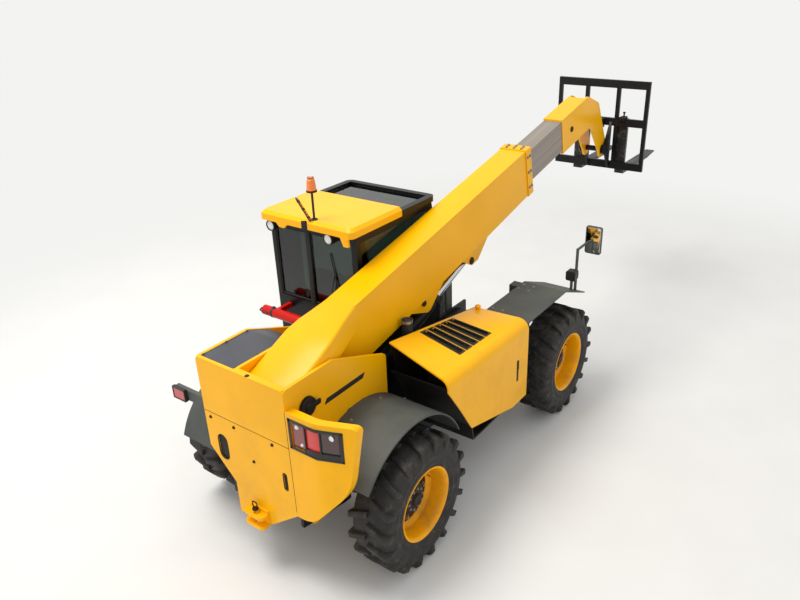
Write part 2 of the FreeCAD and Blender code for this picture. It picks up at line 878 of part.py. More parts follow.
def make_rear_tower():
    rear = -d.tower_rear
    wall = d.tower_wall
    right = -d.tower_right
    left = d.tower_left
    house = d.housing_left
    shelf = axle_height + guard_radius - d.shelf_drop
    foot = d.foot_setback - d.tower_rear
    tower = Piece("rear_tower")
    legs = [(foot, d.tower_foot), (-d.tower_step, d.tower_foot), (-d.tower_step, d.tower_leg_bottom),
            (d.tower_front, d.tower_leg_bottom)]
    crown = [(d.tower_front, d.tower_front_top, d.tower_corner),
             (-d.tower_shoulder, d.tower_top, d.tower_corner), (rear, d.tower_top, d.tower_corner)]
    window = rect(-d.window_start, d.window_end, d.tower_leg_bottom + d.small_round,
                  d.window_top, d.small_round)
    pin_hole = circle(pivot_x, d.pivot_height, d.pivot_radius + d.running_fit)
    tower.pad("XZ", right, right + wall, [*legs, *crown, (rear, d.wing_bottom + d.tower_corner)],
              window, pin_hole)
    tower.pad("XZ", left - wall, left, [
        *legs, (d.tower_front, shelf + wall), (rear, shelf + wall), (rear, d.rear_side_level)])
    tower.pad("XZ", house - wall, house, [(rear, shelf), (d.tower_front, shelf), *crown])
    tower.pad("XY", shelf, shelf + wall, rect(rear, d.tower_front, left - wall, house))
    lid_low = d.tower_top - wall
    slope = (d.tower_top - d.tower_front_top) / (d.tower_front + d.tower_shoulder)
    middle = [
        (rear + 10, cross_top), (d.middle_front, cross_top),
        (d.middle_front, lid_low - (d.middle_front + d.tower_shoulder) * slope),
        (-d.tower_shoulder, lid_low + 1), (rear + 10, lid_low + 1)]
    tower.pad("XZ", d.middle_plate, d.middle_plate + wall, middle, pin_hole)
    tower.pad("YZ", rear, rear + wall, [
        (right, d.wing_bottom), (-d.hitch_half_width - d.hitch_plate, d.hitch_level + d.hitch_plate),
        (d.rear_keel_offset, d.rear_keel_bottom), (d.rear_keel_offset, d.rear_keel_level),
        (d.rear_step_offset, d.rear_step_level), (house, d.rear_side_level),
        (house, d.tower_top, d.tower_corner), (right, d.tower_top, d.tower_corner)],
        upright(d.rear_hole_offset, d.rear_hole_level, d.rear_hole_width, d.rear_hole_height),
        upright(-d.grip_offset, d.grip_level, d.grip_width, d.grip_height))
    panel = d.tower_top - d.panel_depth
    drop = (d.tower_shoulder - d.cover_setback) * slope
    tower.pad("XZ", d.middle_plate + 10, house - 10, [
        (rear + 10, lid_low), (-d.tower_shoulder, lid_low), (-d.cover_setback, lid_low - drop),
        (-d.cover_setback, panel - drop), (-d.tower_shoulder, panel), (rear + 10, panel)])
    tower.pad("XY", lid_low, d.tower_top, rect(rear + 10, rear + d.top_lip, right + 10, d.middle_plate + wall))
    tower.pad("XY", lid_low, d.tower_top, rect(
        rear + 10, -d.tower_shoulder, d.middle_plate, d.middle_plate + wall))
    tower.pad("XZ", right + 10, d.middle_plate + 10, circle(
        -d.lift_base_setback, d.lift_base_height, d.lift_pin_radius))
    tower.place()


def wing_face(offset):
    """Two straight runs of the wing seen from above, moved forward by an offset."""
    x = offset - d.tower_rear
    stretch = 1.1
    return [
        (x, 1 - d.tower_right), (x, -d.wing_turn, d.wing_plan_round),
        (x + d.wing_bend * stretch, -d.wing_turn - (d.wing_outer - d.wing_turn) * stretch)]


def make_rear_wing():
    rear = -d.tower_rear
    right = -d.tower_right
    elbow = (-d.wing_elbow, d.wing_elbow_level, d.sweep_round * 2)
    wing = Piece("rear_wing")
    wing.pad("YZ", rear - d.wing_depth, rear + d.wing_depth * 3, [
        (right, d.wing_bottom), (-d.wing_knee, d.wing_bottom, d.sweep_round), elbow,
        (-d.wing_outer, d.wing_top, d.middle_round), (right, d.wing_top)])
    for face, beyond in ((wing_face(0), -d.wing_depth * 2), (wing_face(d.wing_depth), d.wing_depth * 5)):
        wing.cut("XY", d.wing_bottom - 1, d.wing_top + 1, [
            *face, (rear + beyond, face[2][1]), (rear + beyond, face[0][1])])
    depth = d.lamp_recess_depth
    wing.cut("XY", d.lamp_recess_bottom, d.lamp_recess_top, lens_plan(-depth, depth, 0))
    wing.place()


def make_tow_hitch():
    rear = -d.tower_rear
    hitch = Piece("tow_hitch")
    tail = rear - d.hitch_reach
    half = d.hitch_half_width
    for low in (d.hitch_level, d.hitch_level + d.hitch_plate + d.hitch_jaw):
        hitch.pad("XY", low, low + d.hitch_plate, [
            (tail, -half, d.middle_round), (rear, -half), (rear, half), (tail, half, d.middle_round)],
            circle(tail + d.hitch_reach / 2, 0, d.hitch_pin_radius))
    hitch.pad("XY", d.hitch_level, d.hitch_level + d.hitch_height, rect(rear - 16, rear, -half, half))
    hitch.place()


def lens_plan(near, far, margin):
    """Plan of what fills the lamp recess between two depths from the wing's face."""
    start = -d.lamp_recess_start - margin
    end = margin - d.lamp_recess_end
    lean = d.wing_bend * (-end - d.wing_turn) / (d.wing_outer - d.wing_turn)
    loop = []
    for depth, order in ((near, 1), (far, -1)):
        x = depth - d.tower_rear
        loop += [(x, start), (x, -d.wing_turn, d.wing_plan_round), (x + lean, end)][::order]
    return loop


def make_rear_lamps():
    margin = d.lens_margin
    lamps = Piece("rear_lamps", several=True)
    lamps.pad("XY", d.lamp_recess_bottom + margin, d.lamp_recess_top - margin, lens_plan(
        d.lamp_recess_depth - d.lens_thickness, d.lamp_recess_depth, margin))
    third = (d.lamp_recess_end - d.lamp_recess_start) / 3
    for split in (1, 2):
        y = -d.lamp_recess_start - third * split
        lamps.cut("XZ", y, y + d.lens_gap, rect(
            -d.tower_rear, d.wing_bend, d.lamp_recess_bottom, d.lamp_recess_top))
    bar = -d.tower_rear
    lamps.pad("YZ", bar, bar + d.left_lamp_depth, rect(
        d.lamp_bar_reach - d.left_lamp_width, d.lamp_bar_reach,
        d.lamp_bar_level, d.lamp_bar_level + d.lamp_bar_height, 15))
    lamps.place()


# Boom


def make_outer_boom():
    boom = Piece("outer_boom")
    tail = d.boom_tail_radius
    boom.pad("XZ", boom_right, boom_left, [
        (-tail, -tail, tail - 5), (0, -tail), (d.boom_neck, -d.boom_rear_bottom),
        (d.boom_belly_start, -d.boom_rear_bottom), (d.boom_length, -d.boom_front_bottom),
        (d.boom_length, d.boom_top), (d.boom_neck, d.boom_top, d.sweep_round), (0, tail),
        (-tail, tail, tail - 5)])
    rim = d.collar_raise
    front = d.boom_length - d.collar_length
    boom.pad("YZ", front, d.boom_length, rect(
        boom_right - rim, boom_left + rim, -d.boom_front_bottom - rim, d.boom_top + rim, rim))
    wall = d.boom_wall
    boom.cut("YZ", d.cavity_start, front, rect(
        boom_right + wall, boom_left - wall, wall - d.boom_front_bottom, d.boom_top - wall))
    gap = d.seat_gap
    side = d.inner_width / 2 + gap
    boom.cut("YZ", front - 1, d.boom_length + 1, rect(
        -d.boom_offset - side, side - d.boom_offset, -d.inner_bottom - gap, d.inner_top + gap))
    hub_right = d.tower_wall + d.hub_gap - d.tower_right
    hub_left = d.middle_plate - d.hub_gap
    boom.pad("XZ", hub_right, hub_left, circle(0, 0, d.boom_hub_radius))
    boom.cut("XZ", hub_right - 1, hub_left + 1, circle(0, 0, d.pivot_radius + d.running_fit))
    half = d.ram_eye_width / 2 + d.ear_side_gap
    reach = d.lift_eye_reach
    low = -d.lift_eye_drop - d.large_round
    root = 5 - d.boom_front_bottom
    bend = d.middle_round
    lift_ear = [(d.lift_ear_start, root), (reach, low, bend), (reach + d.lift_ear_foot, low, bend),
                (d.lift_ear_end, root)]
    mid_low = -d.mid_ear_drop
    mid_foot = d.mid_ear_foot / 2
    mid_ear = [(d.mid_ear_start, root), (d.mid_ear_low - mid_foot, mid_low, bend),
               (d.mid_ear_low + mid_foot, mid_low, bend), (d.mid_ear_end, root)]
    boss = circle(d.mid_pin_reach, -d.mid_pin_drop, d.mid_pin_radius)
    for side in (1, -1):
        for loop, gap, raised in ((lift_ear, half, 0), (mid_ear, d.mid_ear_half_gap, 0),
                                  (boss, d.mid_ear_half_gap, d.mid_boss)):
            low, high = on_side(side, gap, gap + d.lift_ear_wall + raised)
            boom.pad("XZ", low - d.boom_offset, high - d.boom_offset, loop)
    boom.place(pivot_x, 0, d.pivot_height, d.boom_angle)


def place_inner(piece):
    piece.place(pivot_x + inner_shift_x, 0, d.pivot_height + inner_shift_z, d.boom_angle)


def make_inner_boom():
    side = d.inner_width / 2
    wall = d.inner_wall
    right = -d.boom_offset - side
    left = side - d.boom_offset
    end = d.inner_start + d.inner_length
    inner = Piece("inner_boom")
    inner.pad("YZ", d.inner_start, end,
              rect(right, left, -d.inner_bottom, d.inner_top),
              rect(right + wall, left - wall, wall - d.inner_bottom, d.inner_top - wall))
    gap = d.boom_wall + d.seat_gap
    inner.pad("YZ", d.inner_start, d.inner_start + d.wear_pad_length,
              rect(boom_right + gap, boom_left - gap, gap - d.boom_front_bottom, d.boom_top - gap),
              rect(right + 1, left - 1, 1 - d.inner_bottom, d.inner_top - 1))
    place_inner(inner)


def head_outline():
    """Side plate of the boom head, from the sleeve down to the carriage pin."""
    start = d.inner_start + d.inner_length
    pin = d.carriage_pin_reach
    drop = d.carriage_pin_drop
    eye = d.head_eye_radius
    return [
        (start, -d.head_bottom), (pin - d.head_throat, -d.head_bottom, d.nose_round * 1.5),
        (pin - eye, -drop, d.large_round), (pin - eye + d.small_round, -drop - eye, d.large_round),
        (pin + eye, -drop - eye, d.nose_round), (pin + eye + d.head_lean, -drop + d.large_round, d.large_round),
        (d.head_nose + d.large_round, d.head_nose_level, d.nose_round),
        (d.head_shoulder, d.head_top, d.nose_round), (start, d.head_top)]


def make_boom_head():
    half = d.head_width / 2
    plate = d.head_plate
    start = d.inner_start + d.inner_length
    pin = circle(d.carriage_pin_reach, -d.carriage_pin_drop, d.carriage_pin_radius + d.running_fit)
    base = circle(d.tilt_base_reach, d.tilt_base_level, d.tilt_pin_radius)
    head = Piece("boom_head")
    for low in (-d.boom_offset - half, half - plate - d.boom_offset):
        head.pad("XZ", low, low + plate, head_outline(), pin)
    inner = (1 - d.boom_offset - half, half - 1 - d.boom_offset)
    head.pad("YZ", start, start + plate, rect(*inner, -d.head_bottom, d.head_top))
    head.pad("XY", d.head_top - plate, d.head_top, rect(start, d.head_shoulder - d.large_round, *inner))
    head.pad("XY", -d.head_bottom, plate - d.head_bottom, rect(
        start, d.head_belly_end, *inner))
    head.pad("XZ", *inner, base)
    place_inner(head)


def make_carriage():
    half = d.carriage_half_width
    back = d.carriage_back
    front = back + d.carriage_bar
    post = d.backrest_post
    centre = -d.boom_offset
    carriage = Piece("carriage")
    for low in (-d.carriage_low_bar, d.carriage_high_bar, d.backrest_top - d.carriage_bar_height / 2):
        carriage.pad("XY", low, low + d.carriage_bar_height, rect(back, front, centre - half, centre + half))
    near_fork = d.fork_spread - d.backrest_inset
    for y in (-half, -near_fork, near_fork - post, half - post):
        right = centre + y
        carriage.pad("XY", 1 - d.carriage_low_bar, d.backrest_top, rect(back, front, right, right + post))
    outer = d.head_width / 2 + d.ear_gap
    ear = d.carriage_ear_wall
    nose = d.large_round
    bend = nose * 0.75
    for low in (centre - outer - ear, centre + outer):
        carriage.pad("XZ", low, low + ear, [
            (-nose, -nose, bend), (nose, -nose), (back, -d.carriage_low_bar),
            (back, d.carriage_high_bar + d.carriage_bar_height / 2), (nose / 2, nose), (-nose, nose, bend)])
    carriage.pad("XZ", centre - outer - ear, centre + outer + ear, circle(0, 0, d.carriage_pin_radius))
    inner = d.tilt_eye_width / 2 + d.ear_side_gap
    lever = d.tilt_lever
    tip = d.lever_half_width
    for low in (centre - inner - ear / 2, centre + inner):
        carriage.pad("XZ", low, low + ear / 2, [
            (-tip, lever - tip, d.small_round), (back, lever - tip * 2), (back, lever + tip * 0.8),
            (-tip, lever + tip, d.small_round)])
    carriage.place(carriage_x, 0, carriage_z)


def make_forks():
    start = d.carriage_back + d.carriage_bar
    thick = d.fork_thickness
    centre = -d.boom_offset
    tip = start + thick + d.fork_length
    forks = Piece("forks", several=True)
    for side in (1, -1):
        low = centre + side * d.fork_spread - d.fork_width / 2
        forks.pad("XZ", low, low + d.fork_width, [
            (start, -d.fork_drop), (tip - d.fork_length / 4, -d.fork_drop),
            (tip, thick - d.fork_drop - d.fork_tip), (tip, thick - d.fork_drop),
            (start + thick, thick - d.fork_drop, d.small_round),
            (start + thick, d.carriage_high_bar + d.carriage_bar_height),
            (start, d.carriage_high_bar + d.carriage_bar_height)])
    forks.place(carriage_x, 0, carriage_z)


def make_pivot_pin():
    right = -d.tower_right - d.pivot_head
    left = d.middle_plate + d.tower_wall + d.pivot_head
    pin = Piece("boom_pivot_pin")
    pin.pad("XZ", right, left, circle(0, 0, d.pivot_radius))
    pin.pad("XZ", right, -d.tower_right, circle(0, 0, d.pivot_radius + d.pivot_flange))
    pin.place(pivot_x, 0, d.pivot_height)


# Rams


def make_ram(name, base, eye, barrel, rod, width, base_radius, pin_radius, eye_radius):
    """Barrel pinned at its base, rod with a free eye. barrel, rod: (radius, length)."""
    turn = heading(eye[1] - base[1], eye[0] - base[0])
    centre = -d.boom_offset
    tube = Piece(f"{name}_barrel")
    bore = rod[0] + d.running_fit
    tube.pad("XZ", centre - width / 2, centre + width / 2, circle(0, 0, base_radius))
    tube.pad("YZ", 0, barrel[1], circle(centre, 0, barrel[0]))
    tube.pad("YZ", barrel[1] - d.gland_length, barrel[1], circle(centre, 0, barrel[0] + 8))
    tube.cut("YZ", base_radius + d.small_round, barrel[1] - d.gland_length, circle(centre, 0, barrel[0] - 10))
    tube.cut("YZ", barrel[1] - d.gland_length - 1, barrel[1] + 1, circle(centre, 0, bore))
    tube.cut("XZ", centre - barrel[0] - 1, centre + barrel[0] + 1, circle(0, 0, pin_radius + d.running_fit))
    tube.place(base[0], 0, base[1], turn)
    bar = Piece(f"{name}_rod")
    bar.pad("YZ", -rod[1], 0, circle(centre, 0, rod[0]))
    bar.pad("XZ", centre - width / 2, centre + width / 2, circle(0, 0, eye_radius))
    bar.cut("XZ", centre - width / 2 - 1, centre + width / 2 + 1, circle(0, 0, eye_radius * 0.55))
    bar.place(eye[0], 0, eye[1], turn)


def make_rams():
    make_ram("lift", (-d.lift_base_setback, d.lift_base_height), on_boom(d.lift_eye_reach, -d.lift_eye_drop),
             (d.lift_barrel_radius, d.lift_barrel_length), (d.lift_rod_radius, d.lift_rod_length),
             d.ram_eye_width, d.lift_base_radius, d.lift_pin_radius, d.lift_eye_radius)
    base = on_boom(d.tilt_base_reach + d.rest_extension, d.tilt_base_level)
    make_ram("tilt", base, (carriage_x, carriage_z + d.tilt_lever),
             (d.tilt_barrel_radius, d.tilt_barrel_length), (d.tilt_rod_radius, d.tilt_rod_length),
             d.tilt_eye_width, d.tilt_eye_radius, d.tilt_pin_radius, d.tilt_eye_radius)


# Engine side


def bonnet_section(inner_top, outer_top, bottom):
    """L-shaped section across the machine: top panel and side panel."""
    wall = d.bonnet_wall
    hinge = -d.bonnet_hinge_offset
    side = -d.bonnet_side
    return [
        (hinge, inner_top), (side, outer_top, d.bonnet_round), (side, bottom), (side + wall, bottom),
        (side + wall, outer_top - wall, d.bonnet_round - wall), (hinge, inner_top - wall)]


def make_bonnet():
    bonnet = Piece("bonnet")
    rear_section = bonnet_section(d.bonnet_rear_inner_top, d.bonnet_rear_outer_top, d.skirt_front)
    front_section = bonnet_section(d.bonnet_front_inner_top, d.bonnet_front_outer_top, d.skirt_front)
    bonnet.loft("YZ", (d.bonnet_rear, rear_section), (bonnet_front, front_section))
    side = -d.bonnet_side
    bonnet.cut("XZ", side - 1, side + d.bonnet_wall + d.large_round, [
        (d.bonnet_rear - 10, d.skirt_front - 10), (bonnet_front - d.skirt_taper, d.skirt_front - 10),
        (skirt_corner, skirt_rear), (arch_knee, arch_knee_level),
        (d.bonnet_rear - 10, d.bonnet_rear_outer_top - d.arch_top_drop)])
    slot = bonnet.cut("XY", d.bonnet_front_inner_top - d.large_round, d.bonnet_rear_inner_top + 10, rect(
        d.slot_start, d.slot_start + d.slot_width, -d.slot_outer, -d.slot_inner, d.small_round))
    bonnet.row(slot, "X_Axis", d.slot_pitch, d.slot_count)
    bonnet.cut("XZ", side - 1, side + d.bonnet_wall + 1, upright(
        bonnet_front - d.latch_setback, d.latch_level, d.latch_width, d.latch_height))
    bonnet.place()


def make_engine_bay():
    wall = d.bay_wall
    gap = d.bay_gap + d.bonnet_wall
    floor = d.bay_floor
    right = gap - d.bonnet_side
    inner = -frame_right - 1
    front = bonnet_front - 12
    rear_top = d.bonnet_rear + 12
    foot = skirt_corner + d.large_round
    drop = gap + 14
    front_outer = d.bonnet_front_outer_top - drop - d.bay_shoulder
    rear_outer = d.bonnet_rear_outer_top - drop - d.bay_shoulder
    lower = [(skirt_corner + d.bay_inset * 2, skirt_rear), (arch_knee + d.bay_inset, arch_knee_level)]
    bay = Piece("engine_bay")
    bay.pad("XZ", d.seat_gap - d.bonnet_hinge_offset, -frame_right, [
        (foot, floor), (front, floor), (front, d.bonnet_front_inner_top),
        (rear_top, d.bonnet_rear_inner_top - 4), *lower[::-1]])
    bay.pad("XY", floor, floor + wall, rect(foot, front, right, inner))
    bay.pad("YZ", front - wall, front, [
        (right, floor), (inner, floor), (inner, d.bonnet_front_inner_top - drop),
        (right + d.bay_chamfer, front_outer), (right, front_outer - d.large_round)])
    bay.pad("XZ", right, inner, [
        (foot, floor), (foot + wall, floor), *[(x + wall, z) for x, z in lower], (rear_top + wall, rear_outer),
        (rear_top, rear_outer), *lower[::-1]])
    bay.place()


def make_engine_block():
    start = skirt_corner + d.engine_rear_gap
    low = d.bay_floor + d.bay_wall
    left = -d.bonnet_hinge_offset - d.engine_gap
    engine = Piece("engine_block")
    engine.pad("XY", low, low + d.engine_height, rect(
        start, bonnet_front - d.engine_front_gap, left - d.engine_width, left, d.small_round))
    engine.place()


def make_exhaust():
    exhaust = Piece("exhaust_stack")
    radius = d.exhaust_radius
    height = d.exhaust_top - d.frame_top
    exhaust.turn("XZ", "V_Axis", [(0, 0), (radius, 0), (radius, height, d.middle_round), (0, height)])
    exhaust.place(d.exhaust_reach, -d.exhaust_offset, d.frame_top)


# Fenders


def make_rear_guards():
    guards = Piece("rear_guards", several=True)
    beyond = d.tower_rear * 2
    rear_level = axle_height + d.guard_rear_rise
    wing_front = d.tower_rear - d.wing_depth - d.guard_wing_gap
    for side, inner, tail in ((1, d.housing_left, wing_front), (-1, d.tower_right, wing_front - d.wing_bend)):
        edges = on_side(side, inner, d.guard_reach)
        guards.pad("XZ", *edges, circle(0, axle_height, guard_radius + d.guard_wall),
                   circle(0, axle_height, guard_radius))
        guards.cut("XZ", edges[0] - 1, edges[1] + 1, [
            (-beyond, -beyond), (beyond, -beyond), (beyond, axle_height + d.guard_front_rise),
            (0, rear_level), (-tail, rear_level), (-tail, beyond), (-beyond, beyond)])
    bar_rear = d.left_lamp_depth - d.tower_rear
    guards.pad("XY", d.lamp_bar_level, d.lamp_bar_level + d.lamp_bar_height, rect(
        bar_rear, bar_rear + d.lamp_bar_depth, d.housing_left, d.lamp_bar_reach))
    guards.place()


def make_fenders():
    fenders = Piece("fenders", several=True)
    top = fender_top
    thick = d.fender_wall
    slope = d.wheelbase + d.fender_slope_start
    nose = d.wheelbase + d.fender_front_reach
    nose_level = top - d.fender_front_drop
    arm_high = top - thick
    post = d.fender_post_width
    for side, plate in ((1, frame_left), (-1, frame_right)):
        start = d.wheelbase - d.left_fender_setback if side > 0 else bonnet_front + d.fender_gap
        rear = ([(start, top - thick), (start, top)] if side > 0 else
                [(start + thick, top - thick, d.small_round), (start + thick, axle_height + d.fender_rear_rise),
                 (start, axle_height + d.fender_rear_rise), (start, top, d.small_round + thick)])
        fenders.pad("XZ", *on_side(side, d.fender_inner, d.fender_outer), [
            *rear, (slope, top), (nose, nose_level), (nose, nose_level - thick), (slope, top - thick)])
        for low, reach in ((cross_bottom, d.frame_wall), (arm_high - post, d.fender_post_reach)):
            fenders.pad("XY", low, arm_high, rect(
                d.wheelbase - post, d.wheelbase + post, *on_side(side, plate, plate + reach)))
        fenders.pad("XY", fender_level(d.head_lamp_reach) - thick, head_lamp_level, circle(
            d.wheelbase + d.head_lamp_reach, side * d.head_lamp_offset, d.lamp_post_radius))
    add_side_mirror(fenders)
    fenders.place()


def add_side_mirror(piece):
    """Mirror held ahead of the right front fender by a stalk and an arm."""
    x = d.wheelbase + d.side_mirror_reach
    y = -d.head_lamp_offset
    foot = fender_level(d.side_mirror_reach)
    level = foot + d.side_mirror_rise
    arm = d.mirror_arm
    piece.pad("XY", foot - d.fender_wall, level, circle(x, y, d.lamp_post_radius))
    piece.pad("XY", level - arm, level, rect(x, x + d.mirror_reach, y - arm / 2, y + arm / 2))
    low = level - d.mirror_height * 0.4
    piece.pad("YZ", x + d.mirror_reach - 1, x + d.mirror_reach + d.mirror_wall, rect(
        y + arm - d.mirror_width, y + arm, low, low + d.mirror_height, d.mirror_wall))


# Cab


def make_cab_tub():
    wall = d.tub_wall
    low = d.frame_top
    tub = Piece("cab_tub")
    tub.pad("XY", low, d.tub_top, rect(cab_rear, cab_foot, d.cab_inner, d.cab_outer))
    tub.cut("XY", low + d.tub_floor, d.tub_top + 1, rect(
        cab_rear + wall, cab_foot - wall, d.cab_inner + wall, d.cab_outer - wall))
    tub.cut("XZ", d.cab_outer - wall - 1, d.cab_outer + 1, rect(
        door_start, door_end, low + d.tub_floor, d.tub_top + 1))
    tub.place()


def make_cab_frame():
    low = d.tub_top
    top = d.cab_top
    post = d.cab_post
    rail = d.cab_rail
    frame = Piece("cab_frame")
    frame.pad("XZ", d.cab_inner, d.cab_outer, [
        (cab_rear, low), (cab_foot, low), (cab_belly, d.cab_belly_level, d.large_round), (cab_brow, top),
        (cab_rear, top)])
    frame.cut("XZ", d.cab_inner + post, d.cab_outer - post, [
        (cab_rear + post, low - 1), (cab_foot - post, low - 1),
        (cab_belly - post, d.cab_belly_level, d.large_round), (cab_brow - post, top + 1),
        (cab_rear + post, top + 1)])
    frame.cut("XZ", d.cab_inner - 1, d.cab_inner + post + 1, [
        (cab_rear + post, low + rail), (cab_foot - post, low + rail),
        (cab_belly - post - 10, d.cab_belly_level), (cab_brow - post + 10, top - rail),
        (cab_rear + post, top - rail)])
    frame.cut("XZ", d.cab_outer - post - 1, d.cab_outer + 1, [
        (door_start, low - 1), (door_end, low - 1), (door_end + d.door_lean, d.cab_belly_level),
        (door_top_end, top - rail), (door_start, top - rail)])
    frame.cut("YZ", cab_rear - 1, cab_rear + post + 1, rect(
        d.cab_inner + post, d.cab_outer - post, d.rear_panel_top, top - rail))
    frame.cut("YZ", cab_brow - post * 1.5, cab_belly + 1, rect(
        d.cab_inner + post, d.cab_outer - post, low + rail, top - rail))
    outer, hole = roof_ring()
    frame.pad("XY", top - 1, top + d.ring_height, outer, hole)
    for level in (d.hinge_low, d.hinge_high):
        add_hinge(frame, level)
    mirror_x = cab_brow + d.mirror_reach
    arm = d.mirror_arm
    high = d.mirror_top
    frame.pad("XY", high - arm, high, rect(cab_brow, mirror_x, d.cab_outer - arm * 2, d.cab_outer - arm))
    frame.pad("YZ", mirror_x - 1, mirror_x + d.mirror_wall, rect(
        d.cab_outer + arm * 2 - d.mirror_width, d.cab_outer + arm * 2,
        high - d.mirror_height, high + arm / 2, d.mirror_wall))
    frame.place()


def add_hinge(piece, level):
    """Lug with its pin on the post behind the door."""
    y = d.cab_outer + d.hinge_radius
    piece.pad("XY", level, level + d.hinge_height, circle(door_start, y, d.hinge_radius))
    piece.pad("XY", level, level + d.hinge_height, rect(
        door_start - d.hinge_radius * 2, door_start, d.cab_outer - 5, y + 5))
    piece.pad("XY", level + 1, level + d.hinge_height * 2, circle(door_start, y, d.hinge_pin_radius))


def roof_ring():
    """Outer and inner edges of the frame round the pane in the roof's front."""
    rear = roof_split + d.seat_gap
    front = cab_brow + d.roof_front_overhang
    right = d.roof_inner
    left = d.cab_outer + d.roof_inner
    rim = d.pane_rim
    return (
        [(rear, right), (front, right, rim), (front, left, rim), (rear, left)],
        rect(rear + rim, front - rim, right + rim, left - rim))


def make_cab_roof():
    rear = cab_rear - d.roof_rear_overhang
    left = d.cab_outer + d.roof_side_overhang
    right = d.roof_inner
    bevel = d.roof_bevel
    top = d.cab_top + d.roof_thickness
    corner = d.roof_round
    roof = Piece("cab_roof")

    def cap(inset):
        return [(rear + inset, right + inset, corner), (roof_split, right + inset),
                (roof_split, left - inset), (rear + inset, left - inset, corner)]

    roof.pad("XY", d.cab_top, top - bevel, cap(as_size(0)))
    roof.loft("XY", (top - bevel, cap(as_size(0))), (top, cap(bevel)))
    high = d.cab_top + d.fascia_wall + 1
    low = d.cab_top - d.fascia_drop
    half_low = d.cab_top - d.fascia_drop / 2
    arch = d.cab_top + d.fascia_wall / 2
    y = right + corner
    lobes = ((0.0, low), (0.05, low), (0.09, arch), (0.38, arch), (0.43, d.cab_top), (0.7, d.cab_top),
             (0.74, half_low), (0.8, half_low), (0.85, arch), (1.0, arch))
    span = left - corner - y
    roof.pad("YZ", rear, rear + d.fascia_wall, [
        *[(y + span * share, level) for share, level in lobes], (left - corner, high), (y, high)])
    start = (rear + d.channel_rear, d.channel_start)
    along = (cosine(d.channel_turn), sine(d.channel_turn))
    half = d.channel_width / 2
    corners = []
    for reach, hand in ((-0.05, -1), (1, -1), (1, 1), (-0.05, 1)):
        shift = d.channel_length * reach
        corners.append((start[0] + shift * along[0] - hand * half * along[1],
                        start[1] + shift * along[1] + hand * half * along[0]))
    roof.cut("XY", top - d.channel_depth, top + 1, corners)
    roof.place()


def make_cab_glass():
    low = d.tub_top + d.cab_rail + d.glass_gap
    high = d.cab_top - d.cab_rail - d.glass_gap
    inner = d.cab_inner + d.cab_post + d.glass_gap
    outer = d.cab_outer - d.cab_post - d.glass_gap
    glass = Piece("cab_glass", several=True)
    rear = cab_rear + d.glass_inset
    glass.pad("YZ", rear, rear + d.glass_wall, rect(inner, outer, d.rear_panel_top + d.glass_gap, high))
    y = d.cab_inner + d.glass_inset
    post = d.cab_post + d.glass_gap
    glass.pad("XZ", y, y + d.glass_wall, [
        (cab_rear + post, low), (cab_foot - post, low), (cab_belly - post - 11, d.cab_belly_level),
        (cab_brow - post + 8, high), (cab_rear + post, high)])
    inset = d.glass_inset
    wall = d.glass_wall
    slope = (cab_belly - cab_brow) / (d.cab_top - d.cab_belly_level)
    top_x = cab_belly - (high - d.cab_belly_level) * slope - inset
    foot_slope = (cab_belly - cab_foot) / (d.cab_belly_level - d.tub_top)
    foot_x = cab_foot + (low - d.tub_top) * foot_slope - inset
    bend = (cab_belly - inset - 5, d.cab_belly_level, d.large_round)
    glass.pad("XZ", inner, outer, [
        (foot_x - wall, low), (foot_x, low), bend, (top_x, high), (top_x - wall, high),
        (bend[0] - wall, *bend[1:])])
    hole = roof_ring()[1]
    gap = d.glass_gap
    pane = rect(hole[0][0] + gap, hole[1][0] - gap, hole[0][1] + gap, hole[2][1] - gap)
    glass.pad("XY", d.cab_top + d.pane_level, d.cab_top + d.pane_level + d.glass_wall, pane)
    glass.place()


def door_outline(gap):
    """Door in its opening, smaller all round by the gap."""
    low = d.frame_top + d.tub_floor + gap
    high = d.cab_top - d.cab_rail - gap
    return [
        (door_start + gap, low), (door_end - gap, low), (door_end - gap, d.tub_top),
        (door_end + d.door_lean - gap, d.cab_belly_level), (door_top_end - gap, high),
        (door_start + gap, high)]


def door_windows(gap):
    """Upper and lower panes' outlines, smaller all round by the gap."""
    rail = d.door_rail + d.door_gap + gap
    base = d.frame_top + d.tub_floor + rail
    high = d.cab_top - d.cab_rail - rail
    left = door_start + rail
    split_low = d.door_split - d.door_rail / 2 - gap
    split_high = d.door_split + d.door_rail / 2 + gap
    upper = [
        (left, split_high), (door_end + d.door_lean - rail - 5, split_high), (door_top_end - rail, high),
        (left, high)]
    lower = [
        (left, base), (door_end - rail, base), (door_end - rail, d.tub_top),
        (door_end + d.door_lean * 0.67 - rail, split_low), (left, split_low)]
    return upper, lower


def make_cab_door():
    inner = d.cab_outer - d.door_wall
    door = Piece("cab_door")
    door.pad("XZ", inner, d.cab_outer, door_outline(d.door_gap), *door_windows(as_size(0)))
    y = d.cab_outer + d.hinge_radius
    fit = d.hinge_pin_radius + d.running_fit
    for level in (d.hinge_low, d.hinge_high):
        low = level + d.hinge_height + d.seat_gap
        high = level + d.hinge_height * 2
        door.pad("XY", low, high, rect(
            door_start + d.hinge_radius - 4, door_start + d.hinge_radius * 5, d.cab_outer - 5, y + 6))
        door.pad("XY", low, high, circle(door_start, y, d.hinge_radius))
        door.cut("XY", low - 1, high + 1, circle(door_start, y, fit))
    door.place()


def make_door_glass():
    y = d.cab_outer - d.door_wall / 2
    panes = Piece("door_glass", several=True)
    for outline in door_windows(d.glass_gap):
        panes.pad("XZ", y, y + d.glass_wall, outline)
    panes.place()


